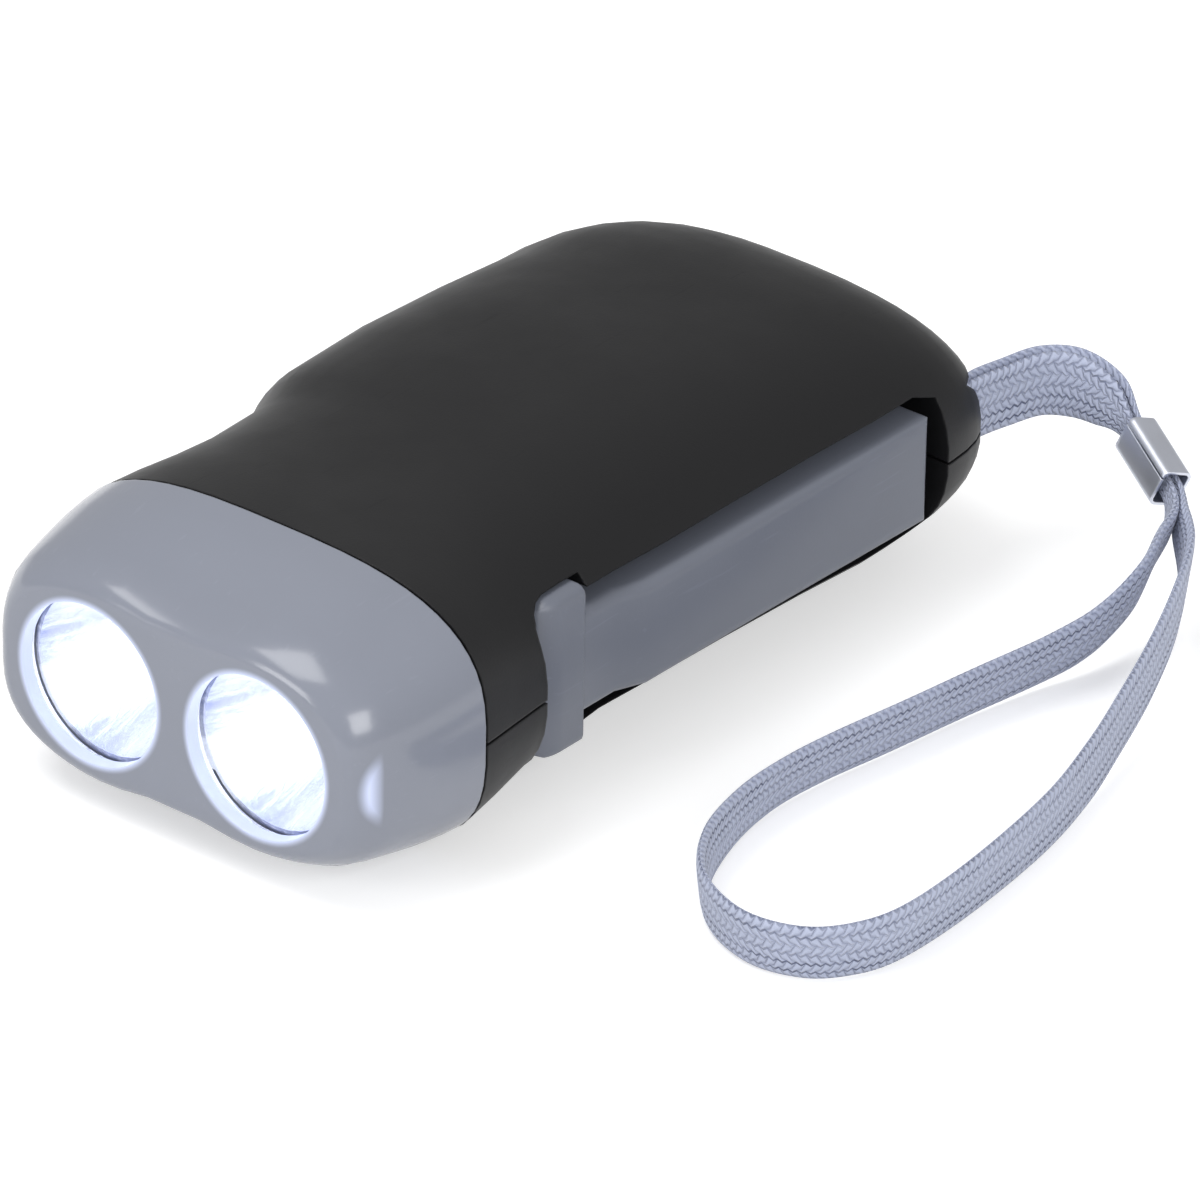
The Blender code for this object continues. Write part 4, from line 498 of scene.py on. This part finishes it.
deeper = add(skin, "HueSaturation", {"Color": given["Colour"], "Value": 0.88}).outputs[0]
paler = add(skin, "HueSaturation", {"Color": given["Colour"], "Value": 1.9}).outputs[0]
colour = tint(skin, flow, deeper, given["Colour"])
colour = tint(skin, reckon(skin, "ADD", worn, reckon(skin, "MULTIPLY", scratches, 0.4)), colour, paler)
skin.links.new(colour, wanted["Colour"])
rough = reckon(skin, "ADD", given["Roughness"],
               reckon(skin, "MULTIPLY", reckon(skin, "SUBTRACT", handled, 0.5), 0.16))
rough = reckon(skin, "SUBTRACT", rough, reckon(skin, "MULTIPLY", worn, 0.3))
skin.links.new(reckon(skin, "ADD", rough, reckon(skin, "MULTIPLY", scratches, 0.2)),
               wanted["Roughness"])
relief = reckon(skin, "SUBTRACT", grain, reckon(skin, "MULTIPLY", scratches, 0.5))
skin.links.new(add(skin, "Bump", {"Strength": 1.0, "Distance": given["Depth"], "Height": relief,
                                  "Normal": soft}).outputs[0], wanted["Normal"])


def moulded(tree, colour, roughness, grain, depth, edge=0.0002, wear=0.2, scuff=0.1):
    """The moulded skin's sockets for one plastic."""
    cast = add(tree, "Group", node_tree=skin)
    values = (colour, roughness, grain, depth, edge, wear, scuff)
    for name, value in zip(("Colour", "Roughness", "Grain", "Depth", "Edge", "Wear", "Scuff"), values):
        if isinstance(value, bpy.types.NodeSocket):
            tree.links.new(value, cast.inputs[name])
        else:
            cast.inputs[name].default_value = (*value, 1) if name == "Colour" else value
    out = cast.outputs
    return {"Base Color": out["Colour"], "Roughness": out["Roughness"], "Normal": out["Normal"]}


def dress(material, *names):
    """Give CAD nodes their finish, with smooth curves and crisp corners."""
    for name in names:
        node = nodes[name]
        node.data.materials.clear()
        node.data.materials.append(material)
        node.data.shade_smooth()
        weld = node.modifiers.new("weld", "WELD")
        weld.merge_threshold = WELD_DISTANCE
        corners = node.modifiers.new("corners", "EDGE_SPLIT")
        corners.split_angle = CORNER_ANGLE


dress(finish("black_shell", {"Specular IOR Level": 0.28}, lambda tree: moulded(
    tree, SHELL_COLOUR, 0.46, 3600.0, 0.00001, 0.0003, 0.25, 0.2)), "upper_shell", "lower_shell")


# Head: a glossy bluish grey moulding with two round lamp windows, plugged into both shells. The
# rims of its windows carry painted lamp light, and its skin has the slight waves of a thick moulding.
HEAD_COLOUR = (0.235, 0.252, 0.302)
RIM_PAINTED_LIGHT_COLOUR = (0.62, 0.70, 1.0, 1)
RIM_PAINTED_LIGHT_REACH = 0.0007

lens_low, lens_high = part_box("lens_left")
lamp_left = (Vector(lens_low) + Vector(lens_high)) / 2
lens_low, lens_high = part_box("lens_right")
lamp_right = (Vector(lens_low) + Vector(lens_high)) / 2
LAMP_SPACING = lamp_right.x - lamp_left.x
RIM_RADIUS = 0.0085


def lamp_face(tree):
    """Sideways and upward distances from the nearer lamp's middle, and both together."""
    place = add(tree, "SeparateXYZ", {0: add(tree, "TexCoord").outputs["Object"]}).outputs
    aside = reckon(tree, "SUBTRACT", place["X"], lamp_left.x)
    aside = reckon(tree, "WRAP", aside, LAMP_SPACING / 2, -LAMP_SPACING / 2)
    high = reckon(tree, "SUBTRACT", place["Z"], lamp_left.z)
    squares = reckon(tree, "ADD", reckon(tree, "MULTIPLY", aside, aside),
                     reckon(tree, "MULTIPLY", high, high))
    return aside, high, reckon(tree, "SQRT", squares), place["Y"]


def head_skin(tree):
    wired = moulded(tree, HEAD_COLOUR, 0.17, 420.0, 0.000012, 0.00025, 0.15, 0.1)
    aside, high, reach, depth = lamp_face(tree)
    # Painted light: the rims of the lamp windows glow with emission, as though lit by the lamps.
    rim = add(tree, "MapRange", {"Value": reach, "From Min": RIM_RADIUS + RIM_PAINTED_LIGHT_REACH,
                                 "From Max": RIM_RADIUS}).outputs[0]
    front = add(tree, "MapRange", {"Value": depth, "From Min": lamp_left.y + 0.0010,
                                   "From Max": lamp_left.y - 0.0005}).outputs[0]
    painted_light = reckon(tree, "MULTIPLY", reckon(tree, "POWER", rim, 1.5), front)
    wired["Emission Color"] = tint(tree, painted_light, (0, 0, 0, 1), RIM_PAINTED_LIGHT_COLOUR)
    return wired


dress(finish("grey_plastic", {"Emission Strength": 0.75, "Specular IOR Level": 0.5}, head_skin),
      "head_cap")


# Lenses: clear discs of moulded acrylic behind the windows, a little smeared by wiping. Behind
# them one moulding with two bowls, metallised in vacuum, throws the light of both lamps forward.
# Painted light: the bowls glow with a band of lamp light, a dim glow elsewhere and glints, as emission.
BAND_ANGLE = math.radians(34)
BAND_HALF_WIDTH = 0.0036
BAND_FADE = 0.0042
BAND_RAGGEDNESS = 0.008
BOWL_COLOUR = (0.62, 0.64, 0.78, 1)
BOWL_PAINTED_LIGHT = (0.86, 0.90, 1.0, 1)
BOWL_PAINTED_DIM_LIGHT = (0.10, 0.11, 0.19, 1)
LED_GLOW = (0.80, 0.88, 1.0, 1)


def wiped(tree):
    place = add(tree, "Mapping", {"Vector": add(tree, "TexCoord").outputs["Object"],
                                  "Rotation": (0, math.radians(30), 0), "Scale": (1, 1, 0.2)})
    smear = add(tree, "TexNoise", {"Vector": place.outputs[0], "Scale": 420.0, "Detail": 4.0}).outputs[0]
    rough = add(tree, "MapRange", {"Value": smear, "From Min": 0.35, "From Max": 0.75,
                                   "To Min": 0.0, "To Max": 0.06}).outputs[0]
    bump = add(tree, "Bump", {"Strength": 0.2, "Distance": 0.00001, "Height": smear})
    pale = tint(tree, smear, (0.90, 0.93, 1.0, 1), (0.97, 0.98, 1.0, 1))
    return {"Base Color": pale, "Roughness": rough, "Normal": bump.outputs[0]}


def bowl(tree):
    """Painted glowing band where the lamp's light lands, painted glints on the thin coat's crinkles."""
    aside, high, reach, depth = lamp_face(tree)
    around = reckon(tree, "ARCTAN2", high, aside)
    place = add(tree, "CombineXYZ", {"X": reckon(tree, "MULTIPLY", around, 3.2),
                                     "Y": reckon(tree, "MULTIPLY", reach, 160.0),
                                     "Z": reckon(tree, "MULTIPLY", depth, 90.0)}).outputs[0]
    crinkle = add(tree, "TexNoise", {"Vector": place, "Scale": 1.6, "Detail": 6.0,
                                     "Roughness": 0.65, "Distortion": 0.8}).outputs[0]
    off_band = reckon(tree, "SUBTRACT", reckon(tree, "MULTIPLY", high, math.cos(BAND_ANGLE)),
                      reckon(tree, "MULTIPLY", aside, math.sin(BAND_ANGLE)))
    ragged = reckon(tree, "MULTIPLY", reckon(tree, "SUBTRACT", crinkle, 0.5), BAND_RAGGEDNESS)
    off_band = reckon(tree, "ADD", off_band, ragged)
    band = add(tree, "MapRange", {"Value": reckon(tree, "ABSOLUTE", off_band),
                                  "From Min": BAND_HALF_WIDTH + BAND_FADE / 2,
                                  "From Max": BAND_HALF_WIDTH - BAND_FADE / 2},
               interpolation_type="SMOOTHSTEP").outputs[0]
    painted_glint = add(tree, "MapRange", {"Value": crinkle, "From Min": 0.5, "From Max": 0.72,
                                   "To Max": 0.45}).outputs[0]
    painted_light = reckon(tree, "MAXIMUM", band, painted_glint)
    grain = add(tree, "TexNoise", {"Vector": add(tree, "TexCoord").outputs["Object"],
                                   "Scale": 1500.0, "Detail": 3.0}).outputs[0]
    height = reckon(tree, "ADD", crinkle, reckon(tree, "MULTIPLY", grain, 0.15))
    bump = add(tree, "Bump", {"Strength": 0.7, "Distance": 0.0002, "Height": height})
    rough = reckon(tree, "ADD", 0.10, reckon(tree, "MULTIPLY", crinkle, 0.2))
    return {"Base Color": tint(tree, crinkle, BOWL_COLOUR, (0.85, 0.87, 0.95, 1)),
            "Roughness": rough, "Normal": bump.outputs[0],
            "Emission Color": tint(tree, painted_light, BOWL_PAINTED_DIM_LIGHT, BOWL_PAINTED_LIGHT)}


def bulb(tree):
    """Water clear epoxy that glows most over its chip."""
    aside, high, reach, depth = lamp_face(tree)
    core = add(tree, "MapRange", {"Value": reach, "From Min": 0.0026, "From Max": 0.0006}).outputs[0]
    streak = add(tree, "TexNoise", {"Vector": add(tree, "TexCoord").outputs["Object"],
                                    "Scale": 900.0, "Detail": 2.0}).outputs[0]
    glow = tint(tree, core, (0.45, 0.55, 0.85, 1), LED_GLOW)
    return {"Emission Color": glow, "Roughness": reckon(tree, "MULTIPLY", streak, 0.12)}


dress(finish("clear_lens", {"Transmission Weight": 1.0, "IOR": 1.49}, wiped),
      "lens_left", "lens_right")
dress(finish("reflector_chrome", {"Metallic": 1.0, "Emission Strength": 0.85}, bowl), "reflector")
dress(finish("led_epoxy", {"Base Color": (0.93, 0.96, 1.0, 1), "Transmission Weight": 0.6,
                           "IOR": 1.53, "Emission Strength": 1.2}, bulb), "led_left", "led_right")


# Lever: one satin grey moulding of hinge block, neck, hollow grip and, inside, the toothed
# sector. Fingers have polished its grip, and the sector's teeth are greased.
LEVER_COLOUR = (0.150, 0.163, 0.200)
dress(finish("lever_grey", {"Specular IOR Level": 0.5}, lambda tree: moulded(
    tree, LEVER_COLOUR, 0.36, 2600.0, 0.000008, 0.00035, 0.5, 0.25)), "lever")


# Hinge pin and axles: drawn steel wire cut to length and held between posts of both shells. The
# return spring is coiled music wire round the pin, and the flywheel is turned steel.
STEEL = metal_finish("pin_steel", (0.56, 0.57, 0.59), 0.22, (1, 1, 0.03))
dress(STEEL, "hinge_pin", "drive_axle", "idler_axle", "rotor_axle")
dress(metal_finish("spring_wire", (0.50, 0.50, 0.50), 0.28, (0.4, 0.4, 0.4)), "return_spring")
dress(metal_finish("turned_steel", (0.54, 0.55, 0.57), 0.24, (0.2, 0.2, 1.5), 0.0002), "flywheel")


# Gears: the drive pinion is amber nylon with two springy pawls, and the step gears and rotor
# pinion are natural white acetal, all injection moulded with a little grease on them.
AMBER_COLOUR = (0.66, 0.36, 0.10)
ACETAL_COLOUR = (0.78, 0.78, 0.73)
dress(finish("gear_amber", {"Subsurface Weight": 0.15, "Subsurface Scale": 0.001}, lambda tree: moulded(
    tree, AMBER_COLOUR, 0.38, 1900.0, 0.000006, 0.00012, 0.3, 0.1)), "drive_pinion")
dress(finish("gear_white", {"Subsurface Weight": 0.2, "Subsurface Scale": 0.001}, lambda tree: moulded(
    tree, ACETAL_COLOUR, 0.42, 2100.0, 0.000006, 0.00012, 0.1, 0.05)),
    "step_gear_1", "step_gear_2", "rotor_pinion", "coil_bobbin")


# Dynamo: a ring of sintered ferrite turns beside a core of stacked iron sheets, and a coil of
# enamelled copper wire is wound on the core's white bobbin.
MAGNET_COLOUR = (0.045, 0.045, 0.05)
SHEET_THICKNESS = 0.0005
COIL_WIRE = 0.00018


def layered(tree, axis, pitch, sharp):
    """Height of layers or turns that repeat along one axis."""
    place = add(tree, "SeparateXYZ", {0: add(tree, "TexCoord").outputs["Object"]}).outputs[axis]
    turn = reckon(tree, "PINGPONG", reckon(tree, "DIVIDE", place, pitch), 0.5)
    return reckon(tree, "POWER", reckon(tree, "MULTIPLY", turn, 2.0), sharp)


def stacked_sheets(tree):
    gap = layered(tree, "Z", SHEET_THICKNESS, 0.3)
    stain = add(tree, "TexNoise", {"Vector": add(tree, "TexCoord").outputs["Object"],
                                   "Scale": 500.0, "Detail": 5.0}).outputs[0]
    colour = tint(tree, stain, (0.20, 0.20, 0.215, 1), (0.34, 0.33, 0.33, 1))
    bump = add(tree, "Bump", {"Strength": 1.0, "Distance": 0.00005, "Height": gap})
    return {"Base Color": tint(tree, gap, (0.03, 0.03, 0.035, 1), colour),
            "Roughness": reckon(tree, "ADD", 0.3, reckon(tree, "MULTIPLY", stain, 0.3)),
            "Normal": bump.outputs[0]}


def wound_wire(tree):
    turn = layered(tree, "X", COIL_WIRE, 0.6)
    lay = add(tree, "TexNoise", {"Vector": add(tree, "TexCoord").outputs["Object"],
                                 "Scale": 350.0, "Detail": 3.0}).outputs[0]
    colour = tint(tree, lay, (0.46, 0.16, 0.055, 1), (0.68, 0.29, 0.12, 1))
    bump = add(tree, "Bump", {"Strength": 1.0, "Distance": 0.00006, "Height": turn})
    return {"Base Color": tint(tree, turn, (0.14, 0.045, 0.02, 1), colour),
            "Roughness": reckon(tree, "ADD", 0.2, reckon(tree, "MULTIPLY", lay, 0.2)),
            "Normal": bump.outputs[0]}


dress(finish("magnet", {"Metallic": 0.1}, lambda tree: moulded(
    tree, MAGNET_COLOUR, 0.55, 5200.0, 0.00003, 0.00015, 0.6, 0.3)), "ring_magnet")
dress(finish("core_iron", {"Metallic": 0.85}, stacked_sheets), "stator_core")
dress(finish("coil_copper", {"Metallic": 0.75, "Coat Weight": 0.4}, wound_wire), "coil")


# Boards: green coated glass laminate with copper tracks under the coat and bare tan edges. One
# carries the capacitor and four diodes behind the head, the other holds both lamps.
TRACK_CELL_SCALE = 230.0
TRACKS_PER_CELL = 2.6


def tracks(tree):
    place = add(tree, "TexCoord").outputs["Object"]
    cells = add(tree, "TexVoronoi", {"Vector": place, "Scale": TRACK_CELL_SCALE},
                distance="CHEBYCHEV").outputs[0]
    turn = reckon(tree, "PINGPONG", reckon(tree, "MULTIPLY", cells, TRACKS_PER_CELL), 0.5)
    track = add(tree, "MapRange", {"Value": turn, "From Min": 0.2, "From Max": 0.26}).outputs[0]
    blot = add(tree, "TexNoise", {"Vector": place, "Scale": 700.0, "Detail": 3.0}).outputs[0]
    coat = tint(tree, track, (0.010, 0.085, 0.030, 1), (0.030, 0.20, 0.065, 1))
    facing = add(tree, "VectorMath", {0: add(tree, "NewGeometry").outputs["Normal"]},
                 operation="ABSOLUTE").outputs[0]
    sides = add(tree, "SeparateXYZ", {0: facing}).outputs
    bare = reckon(tree, "GREATER_THAN", sides["X"], 0.9)
    bump = add(tree, "Bump", {"Strength": 1.0, "Distance": 0.00003, "Height": track})
    return {"Base Color": tint(tree, bare, coat, (0.42, 0.36, 0.18, 1)),
            "Roughness": reckon(tree, "ADD", 0.22, reckon(tree, "MULTIPLY", blot, 0.25)),
            "Normal": bump.outputs[0]}


dress(finish("board_green", {"Coat Weight": 0.3}, tracks), "circuit_board", "led_board")


# Capacitor: an aluminium can in a shrunk dark blue sleeve with one pale stripe, open over the
# can's end. The diodes are moulded black epoxy with a silver band at one end.
SLEEVE_COLOUR = (0.018, 0.035, 0.16, 1)
STRIPE_HALF = 0.0012
SLEEVE_SETBACK = 0.0003
BAND_SETBACK = 0.0009
BAND_HALF = 0.00025
can_low, can_high = (Vector(corner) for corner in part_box("capacitor"))
diode_low, diode_high = (Vector(corner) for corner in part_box("rectifier_diode_1"))


def sleeve(tree):
    place = add(tree, "SeparateXYZ", {0: add(tree, "TexCoord").outputs["Object"]}).outputs
    can_end = reckon(tree, "GREATER_THAN", place["X"], can_high.x - SLEEVE_SETBACK)
    beside = reckon(tree, "SUBTRACT", place["Y"], (can_low.y + can_high.y) / 2)
    stripe = reckon(tree, "LESS_THAN", reckon(tree, "ABSOLUTE", beside), STRIPE_HALF)
    above = reckon(tree, "GREATER_THAN", place["Z"], (can_low.z + can_high.z) / 2)
    shrink = add(tree, "TexNoise", {"Vector": add(tree, "TexCoord").outputs["Object"],
                                    "Scale": 300.0, "Detail": 4.0}).outputs[0]
    blue = tint(tree, shrink, SLEEVE_COLOUR, (0.03, 0.055, 0.21, 1))
    printed = tint(tree, reckon(tree, "MULTIPLY", stripe, above), blue, (0.55, 0.58, 0.62, 1))
    bump = add(tree, "Bump", {"Strength": 0.4, "Distance": 0.00004, "Height": shrink})
    return {"Base Color": tint(tree, can_end, printed, (0.7, 0.7, 0.72, 1)), "Metallic": can_end,
            "Roughness": reckon(tree, "ADD", 0.25, reckon(tree, "MULTIPLY", shrink, 0.2)),
            "Normal": bump.outputs[0]}


def banded(tree):
    wired = moulded(tree, (0.012, 0.012, 0.013), 0.5, 6000.0, 0.00001, 0.0001, 0.2, 0.1)
    place = add(tree, "SeparateXYZ", {0: add(tree, "TexCoord").outputs["Object"]}).outputs["X"]
    band = reckon(tree, "ABSOLUTE", reckon(tree, "SUBTRACT", place, diode_high.x - BAND_SETBACK))
    band = reckon(tree, "LESS_THAN", band, BAND_HALF)
    wired["Base Color"] = tint(tree, band, wired["Base Color"], (0.5, 0.5, 0.52, 1))
    return wired


dress(finish("capacitor_blue", {}, sleeve), "capacitor")
dress(finish("black_epoxy", {}, banded), *(f"rectifier_diode_{index}" for index in range(1, 5)))


# Wires: stranded copper in soft vinyl, red and black, from the coil and from the lamps to the
# main board, where they are soldered.
dress(finish("wire_red", {}, lambda tree: moulded(
    tree, (0.42, 0.016, 0.016), 0.32, 1500.0, 0.00002, 0.0001, 0.1, 0.1)),
    "lamp_wire_1", "coil_wire_1", "coil_wire_2")
dress(finish("wire_black", {}, lambda tree: moulded(
    tree, (0.014, 0.014, 0.015), 0.34, 1500.0, 0.00002, 0.0001, 0.1, 0.1)), "lamp_wire_2")


# Fixings: four plated self-tapping screws sit in the lower shell's recesses, and a steel bar
# across the tail slot anchors the strap.
dress(metal_finish("screw_steel", (0.60, 0.61, 0.62), 0.24, (0.4, 0.4, 0.4)),
      *(f"housing_screw_{index}" for index in range(1, 5)))
dress(TIN, "strap_bar")
